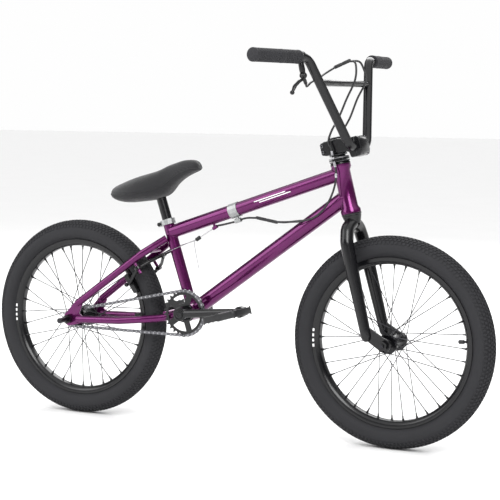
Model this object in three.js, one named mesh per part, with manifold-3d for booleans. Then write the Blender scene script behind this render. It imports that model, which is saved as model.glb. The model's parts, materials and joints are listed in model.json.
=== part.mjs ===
// Freestyle bicycle with 20 inch wheels, one rear brake and a cable detangler, in millimetres.
// Its own frame: +X forward, +Y to the rider's left, +Z up.
// The origin is on the ground, halfway between the axles.
import * as THREE from "three";
import { mergeVertices } from "three/addons/utils/BufferGeometryUtils.js";
import Module from "manifold-3d";

// ---------------------------------------------------------------- driving dimensions
const WHEELBASE = 886;
const GAP = 0.3;
const ROUND_SIDES = 12;
const SMALL_SIDES = 10;

// Wheels
const WHEEL_SEGMENTS = 28;
const TYRE_RADIUS = 256;
const TYRE_HALF_WIDTH = 29.5;
const TYRE_BEAD_ANGLE = 125;
const TYRE_WALL = 3.5;
const TYRE_DEPTH = 50.5;
const RIM_DEPTH = 17.5;
const RIM_HALF_WIDTH = 15.8;
const RIM_FLANGE = 2;
const RIM_WELL_DEPTH = 7.2;
const RIM_BED_HALF_WIDTH = 9;
const SPOKES_PER_SIDE = 18;
const SPOKE_RADIUS = 1.1;
const SPOKE_CROSS_ANGLE = 60;
const SPOKE_RIM_OFFSET = 4;
const SPOKE_HEAD_INSET = 3;
const FRONT_FLANGE_RADIUS = 24;
const REAR_FLANGE_RADIUS = 28;
const FLANGE_THICKNESS = 3.5;
const HUB_SHELL_RADIUS = 16;
const HUB_END_RADIUS = 11;
const FRONT_FLANGE_OFFSET = 30;
const REAR_FLANGE_OFFSET = 27.5;
const DRIVER_RADIUS = 17;
const DRIVER_START = 30.5;
const DRIVER_LENGTH = 19.5;
const FRONT_HUB_HALF_WIDTH = 50;
const REAR_HUB_HALF_WIDTH = 55;
const FRONT_AXLE_RADIUS = 5;
const REAR_AXLE_RADIUS = 7;
const FRONT_AXLE_HALF_LENGTH = 70;
const REAR_AXLE_HALF_LENGTH = 106;
const AXLE_NUT_RADIUS = 12;
const FRONT_NUT_LENGTH = 9.5;
const REAR_NUT_LENGTH = 13;

// Frame
const CHAINSTAY_LENGTH = 341;
const BOTTOM_BRACKET_RISE = 37;
const SEAT_TUBE_ANGLE = 71.5;
const SEAT_TUBE_LENGTH = 238;
const SEAT_TUBE_RADIUS = 14.3;
const TOP_TUBE_UP_SEAT_TUBE = 209;
const TOP_TUBE_RADIUS = 17;
const DOWN_TUBE_RADIUS = 19.05;
const TUBE_WALL = 1.6;
const STAY_RADIUS = 9.5;
const DROPOUT_THICKNESS = 6;
const DROPOUT_RADIUS = 18;
const SHELL_RADIUS = 23.5;
const SHELL_HALF_WIDTH = 34;
const SHELL_BEARING_RADIUS = 20.6;
const SHELL_BEARING_WIDTH = 10;
const SEATSTAY_ANGLE = 36.5;
const SEATSTAY_OFFSET = 19;

// Steering, measured up the steering axis from the foot of the fork offset
const HEAD_ANGLE = 75.5;
const FORK_OFFSET = 32;
const HEAD_TUBE_START = 322;
const HEAD_TUBE_LENGTH = 120;
const HEAD_TUBE_RADIUS = 20;
const HEAD_TUBE_END_RADIUS = 24.4;
const HEAD_BEARING_RADIUS = 20.6;
const HEAD_BEARING_DEPTH = 8;
const TOP_TUBE_DOWN_HEAD_TUBE = 21.5;
const DOWN_TUBE_UP_HEAD_TUBE = 42;
const STEERER_RADIUS = 14.3;
const STEERER_WALL = 2;
const FORK_LEG_RADIUS = 15.9;
const FORK_LEG_END_RADIUS = 12.5;
const FORK_LEG_SPREAD = 51;
const FORK_LEG_END_SPREAD = 56;
const FORK_LEG_SETBACK = 6.5;
const FORK_DROPOUT_RADIUS = 17;
const HEADSET_CAP_HEIGHT = 5.7;
const SPACER_HEIGHT = 15.9;
const SPACER_RADIUS = 16.5;
const DETANGLER_PLATE = 2.5;
const DETANGLER_RING = 3.5;
const DETANGLER_RADIUS = 25;
const DETANGLER_LIFT = 4;
const FERRULE_RADIUS = 3.6;
const FERRULE_LENGTH = 11;
const CABLE_EAR_SPREAD = 33;
const EAR_HALF_WIDTH = 5;
const EAR_SWEEP_CLEARANCE = 1.5;
const STEM_HEIGHT = 35.7;
const STEM_RADIUS = 22;
const STEM_REACH = 56;
const STEM_HALF_WIDTH = 26;
const STEM_CLAMP_HALF_HEIGHT = 25;
const STEM_CLAMP_DEPTH = 25;
const STEM_CLAMP_UP = 6.7;
const BAR_RADIUS = 11.1;
const BAR_RISE = 212;
const BAR_LOW_HALF_WIDTH = 50;
const BAR_BEND_HALF_WIDTH = 176;
const BAR_HALF_WIDTH = 379;
const BAR_BACKSWEEP = 9.7;
const BAR_UPSWEEP = 2.8;
const BAR_BEND_RADIUS = 40;
const CROSSBAR_UP = 153;
const CROSSBAR_RADIUS = 8;
const GRIP_RADIUS = 16;
const GRIP_LENGTH = 171;
const GRIP_END = 4;
const LEVER_FROM_BEND = 29;
const LEVER_CLAMP_WIDTH = 11;
const LEVER_DROP = 42;
const LEVER_BLADE_RADIUS = 3.3;

// Drive
const CHAIN_LINE = 45;
const CHAIN_PITCH = 12.7;
const SPROCKET_TEETH = 28;
const COG_TEETH = 10;
const CHAIN_HEIGHT = 8.5;
const CHAIN_WIDTH = 8;
const CHAIN_SLOT = 3.8;
const CHAIN_SLOT_RISE = 2.8;
const CHAIN_ARC_STEPS = 12;
const TOOTH_HEIGHT = 2.2;
const TOOTH_DEPTH = 3.4;
const SPROCKET_THICKNESS = 2.5;
const SPROCKET_ARMS = 5;
const CRANK_LENGTH = 175;
const CRANK_ANGLE = 6;
const SPINDLE_RADIUS = 11;
const SPINDLE_HALF_LENGTH = 73;
const CRANK_BOSS_RADIUS = 18;
const CRANK_BOSS_IN = 52;
const CRANK_BOSS_OUT = 72;
const CRANK_ARM_RADIUS = 13;
const PEDAL_BOSS_RADIUS = 14;
const PEDAL_BOSS_IN = 62;
const PEDAL_BOSS_OUT = 80;
const PEDAL_AXLE_RADIUS = 5.5;
const PEDAL_IN = 92;
const PEDAL_WIDTH = 95;
const PEDAL_LENGTH = 93;
const PEDAL_THICKNESS = 18;
const PEDAL_RAIL = 9;
const PEDAL_TILT = 15;

// Seat
const POST_RADIUS = 12.7;
const POST_INSERT = 95;
const SEAT_PIVOT_UP = 324;
const POST_HEAD_RADIUS = 14;
const POST_HEAD_HALF_WIDTH = 13;
const SEAT_CLAMP_START = 229.5;
const SEAT_CLAMP_HEIGHT = 13.5;
const SEAT_CLAMP_WALL = 4.4;
const SEAT_BOLT_RADIUS = 2.5;
const SEAT_BOLT_HEAD_RADIUS = 4.5;
const SEAT_BOLT_INSET = 3;
const SEAT_HALF_WIDTH = 65;

// Brake
const BRAKE_PIVOT_UP_STAY = 247.5;
const BRAKE_PIVOT_SPREAD = 46;
const BRAKE_ARM_RADIUS = 4.5;
const BRAKE_POST_RADIUS = 4;
const BRAKE_BOSS_RADIUS = 9;
const BRAKE_ARM_END_SPREAD = 42;
const BRAKE_ANCHOR_UP_STAY = 322;
const BRAKE_ANCHOR_SPREAD = 26;
const BRAKE_PAD_LENGTH = 50;
const BRAKE_PAD_CLEARANCE = 2.5;
const PAD_HALF_HEIGHT = 6;
const PAD_STUD_RADIUS = 3.4;
const BRIDGE_HALF_WIDTH = 9;
const BRIDGE_RADIUS = 1.6;
const CABLE_RADIUS = 2.5;
const WIRE_RADIUS = 0.9;
const SPLITTER_RADIUS = 4.2;
const STOP_ALONG_TOP_TUBE = 121;
const STOP_DROP = 26.5;
const STOP_LENGTH = 14;
const STOP_HOUSING_SEAT = 11;
const HANGER_ALONG_TOP_TUBE = 70.7;
const HANGER_DROP = 38;
const BAND_ALONG_TOP_TUBE = 184;
const BAND_WIDTH = 25;
const BAND_CABLE_DROP = 27;

// ---------------------------------------------------------------- derived places
const rad = THREE.MathUtils.degToRad;
const at = (x, y, z) => new THREE.Vector3(x, y, z);
const SIDES = { right: -1, left: 1 };

const rimOuterRadius = TYRE_RADIUS - TYRE_DEPTH;
const rimInnerRadius = rimOuterRadius - RIM_DEPTH;
const rimWellRadius = rimOuterRadius - RIM_WELL_DEPTH;
const rearAxle = at(-WHEELBASE / 2, 0, TYRE_RADIUS);
const frontAxle = at(WHEELBASE / 2, 0, TYRE_RADIUS);
const shellHeight = TYRE_RADIUS + BOTTOM_BRACKET_RISE;
const shellX = rearAxle.x + Math.sqrt(CHAINSTAY_LENGTH ** 2 - BOTTOM_BRACKET_RISE ** 2);
const shellCentre = at(shellX, 0, shellHeight);
const seatTubeLean = rad(90 - SEAT_TUBE_ANGLE);
const headLean = rad(90 - HEAD_ANGLE);
const headAlong = at(-Math.sin(headLean), 0, Math.cos(headLean));
const headAhead = at(Math.cos(headLean), 0, Math.sin(headLean));
const steeringFoot = frontAxle.clone().addScaledVector(headAhead, -FORK_OFFSET);
const headTubeEnd = HEAD_TUBE_START + HEAD_TUBE_LENGTH;
const capTop = headTubeEnd + GAP + HEADSET_CAP_HEIGHT;
const spacerStart = capTop + GAP;
const lowerRingStart = spacerStart + DETANGLER_PLATE + 6 * GAP;
const upperRingStart = lowerRingStart + DETANGLER_RING + GAP;
const upperPlateStart = spacerStart + SPACER_HEIGHT + GAP;
const stemStart = upperPlateStart + DETANGLER_PLATE + GAP;
const stemTop = stemStart + STEM_HEIGHT;
const barCentreUp = stemStart + STEM_CLAMP_UP;
const sprocketPitchRadius = CHAIN_PITCH / (2 * Math.sin(Math.PI / SPROCKET_TEETH));
const cogPitchRadius = CHAIN_PITCH / (2 * Math.sin(Math.PI / COG_TEETH));

// A point given up the steering axis, in the bicycle's frame.
function onSteering(ahead, left, up) {
  return steeringFoot
    .clone()
    .addScaledVector(headAhead, ahead)
    .addScaledVector(headAlong, up)
    .add(at(0, left, 0));
}

// A point given up the seat tube from the bottom bracket, in the bicycle's frame.
function onSeatTube(up) {
  return shellCentre.clone().add(at(-Math.sin(seatTubeLean), 0, Math.cos(seatTubeLean)).multiplyScalar(up));
}

// A point given up the seatstay line from the rear axle: along it, to the left, and above it.
function onSeatstay(along, left, above) {
  const angle = rad(SEATSTAY_ANGLE);
  const x = along * Math.cos(angle) - above * Math.sin(angle);
  const z = along * Math.sin(angle) + above * Math.cos(angle);
  return rearAxle.clone().add(at(x, left, z));
}

// ---------------------------------------------------------------- solids
const wasm = await Module();
wasm.setup();

// A closed three.js geometry as a manifold-3d solid.
function solidOf(geometry) {
  const bare = new THREE.BufferGeometry();
  bare.setAttribute("position", geometry.getAttribute("position").clone());
  if (geometry.index) bare.setIndex(geometry.index.clone());
  const merged = mergeVertices(bare, 1e-4);
  const vertProperties = new Float32Array(merged.getAttribute("position").array);
  const kept = [];
  for (let i = 0; i < merged.index.count; i += 3) {
    const [a, b, c] = [0, 1, 2].map((k) => merged.index.getX(i + k));
    if (a !== b && b !== c && c !== a) kept.push(a, b, c);
  }
  const triVerts = new Uint32Array(kept);
  return new wasm.Manifold(new wasm.Mesh({ numProp: 3, vertProperties, triVerts }));
}

function geometryOf(solid) {
  const mesh = solid.getMesh();
  const geometry = new THREE.BufferGeometry();
  const positions = new Float32Array(mesh.numVert * 3);
  for (let i = 0; i < mesh.numVert; i += 1) {
    for (let k = 0; k < 3; k += 1) positions[3 * i + k] = mesh.vertProperties[mesh.numProp * i + k];
  }
  geometry.setAttribute("position", new THREE.BufferAttribute(positions, 3));
  geometry.setIndex(Array.from(mesh.triVerts));
  geometry.computeVertexNormals();
  return geometry;
}

function join(geometries) {
  return geometryOf(geometries.map(solidOf).reduce((whole, next) => whole.add(next)));
}

function cut(geometry, tools) {
  return geometryOf(tools.map(solidOf).reduce((whole, next) => whole.subtract(next), solidOf(geometry)));
}

// ---------------------------------------------------------------- shapes
// A path whose sections sit at its own points, so that bends get more of them than straights do.
class SectionPath extends THREE.Curve {
  constructor(points) {
    super();
    this.points = points;
  }

  getUtoTmapping(u) {
    return u;
  }

  getPoint(t, target = new THREE.Vector3()) {
    const last = this.points.length - 1;
    const place = t * last;
    const i = Math.min(Math.floor(place + 1e-9), last - 1);
    return target.lerpVectors(this.points[i], this.points[i + 1], place - i);
  }

  getTangent(t, target = new THREE.Vector3()) {
    const last = this.points.length - 1;
    const i = Math.round(t * last);
    const before = this.points[Math.max(i, 1)].clone().sub(this.points[Math.max(i, 1) - 1]).normalize();
    const next = Math.min(i, last - 1);
    const after = this.points[next + 1].clone().sub(this.points[next]).normalize();
    return target.copy(before.add(after)).normalize();
  }
}

// The corners of a path with each inner corner rounded to the bend radius.
function bendCorners(corners, bendRadius, steps = 4) {
  const points = [corners[0]];
  for (let i = 1; i < corners.length - 1; i += 1) {
    const corner = corners[i];
    const back = corners[i - 1].clone().sub(corner);
    const ahead = corners[i + 1].clone().sub(corner);
    const turn = Math.PI - back.angleTo(ahead);
    const longest = 0.49 * Math.min(back.length(), ahead.length());
    const reach = Math.min(bendRadius * Math.tan(turn / 2), longest);
    const start = corner.clone().addScaledVector(back.normalize(), reach);
    const end = corner.clone().addScaledVector(ahead.normalize(), reach);
    points.push(...new THREE.QuadraticBezierCurve3(start, corner, end).getPoints(steps));
  }
  points.push(corners[corners.length - 1]);
  return points;
}

function roundSection(radius, sides) {
  const points = [];
  for (let i = 0; i < sides; i += 1) {
    const angle = ((i + 0.5) / sides) * 2 * Math.PI;
    points.push(new THREE.Vector2(radius * Math.cos(angle), radius * Math.sin(angle)));
  }
  return new THREE.Shape(points);
}

function tubeAlong(points, radius, sides = 16) {
  const options = { steps: points.length - 1, extrudePath: new SectionPath(points), bevelEnabled: false };
  return new THREE.ExtrudeGeometry(roundSection(radius, sides), options);
}

// A cable's tube: a smooth curve through its points, with a step every few diameters.
function cableAlong(points, radius, steps) {
  const route = new THREE.CatmullRomCurve3(points, false, "centripetal");
  return tubeAlong(route.getSpacedPoints(steps), radius, 5);
}

// A straight round bar between two points, with its own radius at each end.
function rod(from, to, radius, endRadius = radius, sides = ROUND_SIDES) {
  const along = to.clone().sub(from);
  const geometry = new THREE.CylinderGeometry(endRadius, radius, along.length(), sides);
  const turn = new THREE.Quaternion().setFromUnitVectors(at(0, 1, 0), along.clone().normalize());
  const middle = from.clone().add(to).multiplyScalar(0.5);
  return geometry.applyQuaternion(turn).translate(middle.x, middle.y, middle.z);
}

// A round hole's cutter, whose flats lie at the radius, so that a bar of that radius clears it.
function drill(from, to, radius, sides = ROUND_SIDES) {
  const corner = radius / Math.cos(Math.PI / sides);
  return rod(from, to, corner, corner, sides);
}

// A box between two opposite corners.
function block(low, high) {
  const size = high.clone().sub(low);
  const middle = high.clone().add(low).multiplyScalar(0.5);
  return new THREE.BoxGeometry(size.x, size.y, size.z).translate(middle.x, middle.y, middle.z);
}

// A turned piece about the Y axis, from [radius, along] pairs around its section.
function turned(profile, segments = ROUND_SIDES) {
  const loop = profile.map(([radius, along]) => new THREE.Vector2(radius, along));
  if (THREE.ShapeUtils.area(loop) < 0) loop.reverse();
  if (loop[0].x > 0) loop.push(loop[0].clone());
  return new THREE.LatheGeometry(loop, segments);
}

function ring(innerRadius, outerRadius, from, to, segments = ROUND_SIDES) {
  const hole = innerRadius / Math.cos(Math.PI / segments);
  return turned([[hole, from], [outerRadius, from], [outerRadius, to], [hole, to]], segments);
}

// A turned piece stood up about the Z axis.
function column(profile, segments = ROUND_SIDES) {
  return turned(profile, segments).rotateX(Math.PI / 2);
}

function washer(innerRadius, outerRadius, from, to, segments = ROUND_SIDES) {
  return ring(innerRadius, outerRadius, from, to, segments).rotateX(Math.PI / 2);
}

// A flat plate whose outline is drawn in X and Z, from one Y to another.
function sidePlate(shape, fromY, toY, curveSegments = 5) {
  const low = Math.min(fromY, toY);
  const high = Math.max(fromY, toY);
  const options = { depth: high - low, bevelEnabled: false, curveSegments };
  return new THREE.ExtrudeGeometry(shape, options).rotateX(Math.PI / 2).translate(0, high, 0);
}

// A closed skin over a row of equal sections, with flat ends.
function loft(sections) {
  const count = sections[0].length;
  const positions = sections.flatMap((section) => section.flatMap((point) => [point.x, point.y, point.z]));
  const faces = [];
  for (let i = 0; i < sections.length - 1; i += 1) {
    for (let k = 0; k < count; k += 1) {
      const a = i * count + k;
      const b = i * count + ((k + 1) % count);
      faces.push(a, b, a + count, b, b + count, a + count);
    }
  }
  const lastStart = (sections.length - 1) * count;
  for (let k = 1; k < count - 1; k += 1) {
    faces.push(0, k + 1, k);
    faces.push(lastStart, lastStart + k, lastStart + k + 1);
  }
  const geometry = new THREE.BufferGeometry();
  geometry.setAttribute("position", new THREE.Float32BufferAttribute(positions, 3));
  geometry.setIndex(faces);
  geometry.computeVertexNormals();
  return geometry;
}

// ---------------------------------------------------------------- finishes
const FINISHES = {
  purplePaint: { color: 0x4a0a4c, roughness: 0.2, metalness: 0.35 },
  blackPaint: { color: 0x0d0d10, roughness: 0.3, metalness: 0.1 },
  blackPlastic: { color: 0x1c1c1e, roughness: 0.6, metalness: 0 },
  rubber: { color: 0x2a2a2c, roughness: 0.85, metalness: 0 },
  steel: { color: 0x8c8d90, roughness: 0.35, metalness: 0.9 },
  darkSteel: { color: 0x3c3d40, roughness: 0.45, metalness: 0.8 },
  silverBand: { color: 0x9a9c9c, roughness: 0.5, metalness: 0.5 },
  seatCover: { color: 0x29292c, roughness: 0.9, metalness: 0 },
};

const bicycle = new THREE.Group();

function place(group, name, geometry, finish) {
  const mesh = new THREE.Mesh(geometry, new THREE.MeshStandardMaterial(FINISHES[finish]));
  mesh.name = name;
  group.add(mesh);
  return mesh;
}

function subGroup(parent, position, turnAboutY = 0) {
  const group = new THREE.Group();
  group.position.copy(position);
  group.rotation.y = turnAboutY;
  parent.add(group);
  return group;
}

// ---------------------------------------------------------------- frame
const seatstayCorners = [
  [44, 58, SEATSTAY_OFFSET],
  [172, 51, SEATSTAY_OFFSET],
  [272, 45, SEATSTAY_OFFSET],
  [318, 32, SEATSTAY_OFFSET - 2],
  [348, 16, SEATSTAY_OFFSET - 2],
];
const chainstayCorners = [
  [24, 58, 0],
  [150, 52, 0.3],
  [216, 46, 0.5],
  [262, 36, 0.6],
  [284, 32, 0.7],
  [326, 24, 1],
];

function seatstay(side) {
  const corners = seatstayCorners.map(([along, left, above]) => onSeatstay(along, side * left, above));
  return tubeAlong(bendCorners(corners, 60, 1), STAY_RADIUS, 8);
}

function chainstay(side) {
  const direction = shellCentre.clone().sub(rearAxle).normalize();
  const corners = chainstayCorners.map(([along, left, share]) => {
    const height = direction.z * along * share;
    return rearAxle.clone().add(at(direction.x * along, side * left, height));
  });
  return tubeAlong(bendCorners(corners, 60, 1), STAY_RADIUS, 8);
}

// The rear dropout is a plate that runs from the axle forward to the chainstay and up to the seatstay.
function rearDropout(side) {
  const shape = new THREE.Shape();
  shape.absarc(0, 0, DROPOUT_RADIUS, rad(150), rad(290), false);
  shape.lineTo(40, -8);
  shape.lineTo(42, 8);
  shape.lineTo(30);
  shape.lineTo(40, 40);
  shape.lineTo(26, 54);
  shape.closePath();
  const inner = side * (REAR_HUB_HALF_WIDTH + GAP);
  const outer = side * (REAR_HUB_HALF_WIDTH + GAP + DROPOUT_THICKNESS);
  return sidePlate(shape, inner, outer).translate(rearAxle.x, 0, rearAxle.z);
}

function axleSlot() {
  const radius = REAR_AXLE_RADIUS + GAP;
  const reach = REAR_HUB_HALF_WIDTH + 2 * DROPOUT_THICKNESS;
  const round = drill(at(0, -reach, 0), at(0, reach, 0), radius);
  const mouth = block(at(-2 * DROPOUT_RADIUS, -reach, -radius), at(0, reach, radius));
  return join([round, mouth]).translate(rearAxle.x, rearAxle.y, rearAxle.z);
}

function headTube() {
  const flare = 16;
  const end = headTubeEnd;
  const profile = [
    [0, HEAD_TUBE_START],
    [HEAD_TUBE_END_RADIUS, HEAD_TUBE_START],
    [HEAD_TUBE_END_RADIUS, HEAD_TUBE_START + flare / 2],
    [HEAD_TUBE_RADIUS, HEAD_TUBE_START + flare],
    [HEAD_TUBE_RADIUS, end - flare],
    [HEAD_TUBE_END_RADIUS, end - flare / 2],
    [HEAD_TUBE_END_RADIUS, end],
    [0, end],
  ];
  return toHead(column(profile));
}

// Moves a piece that stands about Z onto the steering axis.
function toHead(geometry) {
  return geometry.rotateY(-headLean).translate(steeringFoot.x, steeringFoot.y, steeringFoot.z);
}

function headBore() {
  const bearing = HEAD_BEARING_RADIUS + GAP;
  const bore = STEERER_RADIUS + 8 * GAP;
  const end = headTubeEnd;
  const profile = [
    [0, HEAD_TUBE_START - 1],
    [bearing, HEAD_TUBE_START - 1],
    [bearing, HEAD_TUBE_START + HEAD_BEARING_DEPTH],
    [bore, HEAD_TUBE_START + HEAD_BEARING_DEPTH],
    [bore, end - HEAD_BEARING_DEPTH],
    [bearing, end - HEAD_BEARING_DEPTH],
    [bearing, end + 1],
    [0, end + 1],
  ];
  return toHead(column(profile));
}

const topTubeStart = onSeatTube(TOP_TUBE_UP_SEAT_TUBE);
const topTubeEnd = onSteering(0, 0, headTubeEnd - TOP_TUBE_DOWN_HEAD_TUBE);
const topTubeAlong = topTubeEnd.clone().sub(topTubeStart).normalize();
const topTubeUp = at(-topTubeAlong.z, 0, topTubeAlong.x);
const downTubeEnd = onSteering(0, 0, HEAD_TUBE_START + DOWN_TUBE_UP_HEAD_TUBE);

// A point in line with the top tube: along it from the seat tube, to the left, and above its centre.
function onTopTube(along, left, above) {
  return topTubeStart
    .clone()
    .addScaledVector(topTubeAlong, along)
    .addScaledVector(topTubeUp, above)
    .add(at(0, left, 0));
}

// The straddle hanger pulls toward the cable stop, which hangs under the top tube.
const hangerCentre = onTopTube(HANGER_ALONG_TOP_TUBE, 0, -HANGER_DROP);
const stopRear = onTopTube(STOP_ALONG_TOP_TUBE, 0, -STOP_DROP);
const pullAlong = stopRear.clone().sub(hangerCentre).normalize();

function onPull(start, distance) {
  return start.clone().addScaledVector(pullAlong, distance);
}

function cableStop() {
  const root = onTopTube(STOP_ALONG_TOP_TUBE + STOP_LENGTH / 2, 0, -TOP_TUBE_RADIUS + 4);
  const leg = rod(root, onPull(stopRear, STOP_LENGTH / 2), 3, 3, 10);
  return join([leg, rod(stopRear, onPull(stopRear, STOP_LENGTH), 4.4, 4.4, 14)]);
}

function brakePost(side) {
  const left = side * BRAKE_PIVOT_SPREAD;
  const top = onSeatstay(BRAKE_PIVOT_UP_STAY, left, SEATSTAY_OFFSET - 2);
  return rod(top, onSeatstay(BRAKE_PIVOT_UP_STAY, left, -22), BRAKE_POST_RADIUS, BRAKE_POST_RADIUS, 12);
}

function crossBrace(along, height, reach, radius) {
  const centre = rearAxle.clone().add(at(along, 0, height));
  return rod(centre.clone().add(at(0, -reach, 0)), centre.clone().add(at(0, reach, 0)), radius, radius, 12);
}

function makeFrame() {
  const seatTubeTop = onSeatTube(SEAT_TUBE_LENGTH);
  const shell = rod(at(0, -SHELL_HALF_WIDTH, 0), at(0, SHELL_HALF_WIDTH, 0), SHELL_RADIUS, SHELL_RADIUS);
  const solids = [
    rod(shellCentre, seatTubeTop, SEAT_TUBE_RADIUS),
    rod(topTubeStart, topTubeEnd, TOP_TUBE_RADIUS, TOP_TUBE_RADIUS),
    rod(shellCentre, downTubeEnd, DOWN_TUBE_RADIUS, DOWN_TUBE_RADIUS),
    shell.translate(shellCentre.x, 0, shellCentre.z),
    headTube(),
    cableStop(),
    rod(onSeatstay(288, -40, SEATSTAY_OFFSET), onSeatstay(288, 40, SEATSTAY_OFFSET), 6.5, 6.5, 12),
    crossBrace(274, BOTTOM_BRACKET_RISE * 0.8, 32, 6),
  ];
  for (const side of Object.values(SIDES)) {
    solids.push(seatstay(side), chainstay(side), rearDropout(side), brakePost(side));
  }
  const seatBore = POST_RADIUS + GAP;
  const shellBore = SHELL_BEARING_RADIUS + GAP;
  const shellReach = SHELL_HALF_WIDTH + 5;
  const shellHollow = drill(at(0, -shellReach, 0), at(0, shellReach, 0), shellBore);
  const wireHole = WIRE_RADIUS + GAP;
  const housingHole = CABLE_RADIUS + 2 * GAP;
  const stopHole = drill(onPull(stopRear, -1), onPull(stopRear, STOP_LENGTH + 1), wireHole, 8);
  const stopMouth = onPull(stopRear, STOP_LENGTH + 1);
  const housingSeat = drill(onPull(stopRear, STOP_HOUSING_SEAT), stopMouth, housingHole, SMALL_SIDES);
  const tubeBore = TOP_TUBE_RADIUS - TUBE_WALL;
  const downBore = DOWN_TUBE_RADIUS - TUBE_WALL;
  const hollows = [
    drill(onSeatTube(10), onSeatTube(SEAT_TUBE_LENGTH + 1), seatBore),
    rod(onTopTube(SEAT_TUBE_RADIUS + 2, 0, 0), topTubeEnd, tubeBore, tubeBore),
    rod(shellCentre, downTubeEnd, downBore, downBore),
    shellHollow.translate(shellCentre.x, 0, shellCentre.z),
    headBore(),
    axleSlot(),
    stopHole,
    housingSeat,
  ];
  return cut(join(solids), hollows);
}

place(bicycle, "frame", makeFrame(), "purplePaint");

// ---------------------------------------------------------------- bottom bracket and headset
const shellGroup = subGroup(bicycle, shellCentre);
for (const [name, side] of Object.entries(SIDES)) {
  const outer = side * (SHELL_HALF_WIDTH - 0.5);
  const inner = side * (SHELL_HALF_WIDTH - 0.5 - SHELL_BEARING_WIDTH);
  const bearing = ring(SPINDLE_RADIUS + GAP, SHELL_BEARING_RADIUS, inner, outer);
  place(shellGroup, `bottom_bracket_bearing_${name}`, bearing, "steel");
}


const headGroup = subGroup(bicycle, steeringFoot, -headLean);
const flatness = 1 / Math.cos(Math.PI / ROUND_SIDES);
const steererBore = (STEERER_RADIUS + GAP) * flatness;
const upperBearing = [
  [steererBore, headTubeEnd - HEAD_BEARING_DEPTH + 0.5],
  [HEAD_BEARING_RADIUS, headTubeEnd - HEAD_BEARING_DEPTH + 0.5],
  [HEAD_BEARING_RADIUS, headTubeEnd + GAP],
  [HEAD_TUBE_END_RADIUS, headTubeEnd + GAP],
  [HEAD_TUBE_END_RADIUS - 2, capTop],
  [steererBore, capTop],
];
const lowerBearing = [
  [steererBore, HEAD_TUBE_START - HEADSET_CAP_HEIGHT],
  [HEAD_TUBE_END_RADIUS - 1, HEAD_TUBE_START - HEADSET_CAP_HEIGHT],
  [HEAD_TUBE_END_RADIUS, HEAD_TUBE_START - GAP],
  [HEAD_BEARING_RADIUS, HEAD_TUBE_START - GAP],
  [HEAD_BEARING_RADIUS, HEAD_TUBE_START + HEAD_BEARING_DEPTH - 0.5],
  [steererBore, HEAD_TUBE_START + HEAD_BEARING_DEPTH - 0.5],
];
place(headGroup, "headset_bearing_upper", column(upperBearing), "blackPaint");
place(headGroup, "headset_bearing_lower", column(lowerBearing), "blackPaint");

// ---------------------------------------------------------------- cable detangler
// Each plate and ring has two ears, where the cable ends hook on.
function earedRing(innerRadius, outerRadius, from, thickness) {
  const reach = CABLE_EAR_SPREAD + FERRULE_RADIUS;
  const ears = block(at(-EAR_HALF_WIDTH, -reach, from), at(EAR_HALF_WIDTH, reach, from + thickness));
  const disc = washer(0.5, outerRadius, from, from + thickness);
  const hole = drill(at(0, 0, from - 1), at(0, 0, from + thickness + 1), innerRadius);
  return cut(join([disc, ears]), [hole]);
}

// A plate with a barrel on each ear that holds a cable's end.
function earedPlate(innerRadius, outerRadius, from, thickness, barrelFrom, barrelTo) {
  const barrels = Object.values(SIDES).map((side) => {
    const left = side * CABLE_EAR_SPREAD;
    return rod(at(0, left, barrelFrom), at(0, left, barrelTo), FERRULE_RADIUS, FERRULE_RADIUS, 14);
  });
  return join([earedRing(innerRadius, outerRadius, from, thickness), ...barrels]);
}

const ringBore = SPACER_RADIUS + 2 * GAP;
const lowerPlateTop = spacerStart + DETANGLER_PLATE;
const lowerBarrelStart = lowerPlateTop - DETANGLER_PLATE - FERRULE_LENGTH;
const upperBarrelEnd = upperPlateStart + DETANGLER_PLATE + FERRULE_LENGTH - 2;
const lowerPlate = earedPlate(
  ringBore,
  DETANGLER_RADIUS,
  spacerStart,
  DETANGLER_PLATE,
  lowerBarrelStart,
  lowerPlateTop,
);
const lowerRing = earedRing(ringBore, DETANGLER_RADIUS, lowerRingStart, DETANGLER_RING);
const upperRing = earedRing(ringBore, DETANGLER_RADIUS, upperRingStart, DETANGLER_RING);
const ringsTop = upperRingStart + DETANGLER_RING;
if (upperPlateStart - ringsTop < DETANGLER_LIFT) throw new Error("the detangler rings have no room to lift");
place(headGroup, "detangler_lower_plate", lowerPlate, "steel");
place(headGroup, "detangler_lower_ring", lowerRing, "blackPaint");

// ---------------------------------------------------------------- fork
const steering = subGroup(bicycle, steeringFoot, -headLean);
place(steering, "detangler_upper_ring", upperRing, "steel");

function forkLeg(side) {
  const corners = [
    at(-1, side * 8, HEAD_TUBE_START - 23),
    at(-4, side * (FORK_LEG_SPREAD - 17), HEAD_TUBE_START - 34),
    at(-FORK_LEG_SETBACK, side * (FORK_LEG_SPREAD - 3), HEAD_TUBE_START - 67),
    at(-FORK_LEG_SETBACK, side * FORK_LEG_SPREAD, HEAD_TUBE_START - 122),
  ];
  const knee = at(-FORK_LEG_SETBACK, side * FORK_LEG_SPREAD, HEAD_TUBE_START - 118);
  const foot = at(-FORK_LEG_SETBACK, side * FORK_LEG_END_SPREAD);
  return join([
    tubeAlong(bendCorners(corners, 30, 3), FORK_LEG_RADIUS, 12),
    rod(knee, foot, FORK_LEG_RADIUS, FORK_LEG_END_RADIUS, 12),
    new THREE.SphereGeometry(FORK_LEG_END_RADIUS, 10, 5).translate(foot.x, foot.y, foot.z),
  ]);
}

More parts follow.
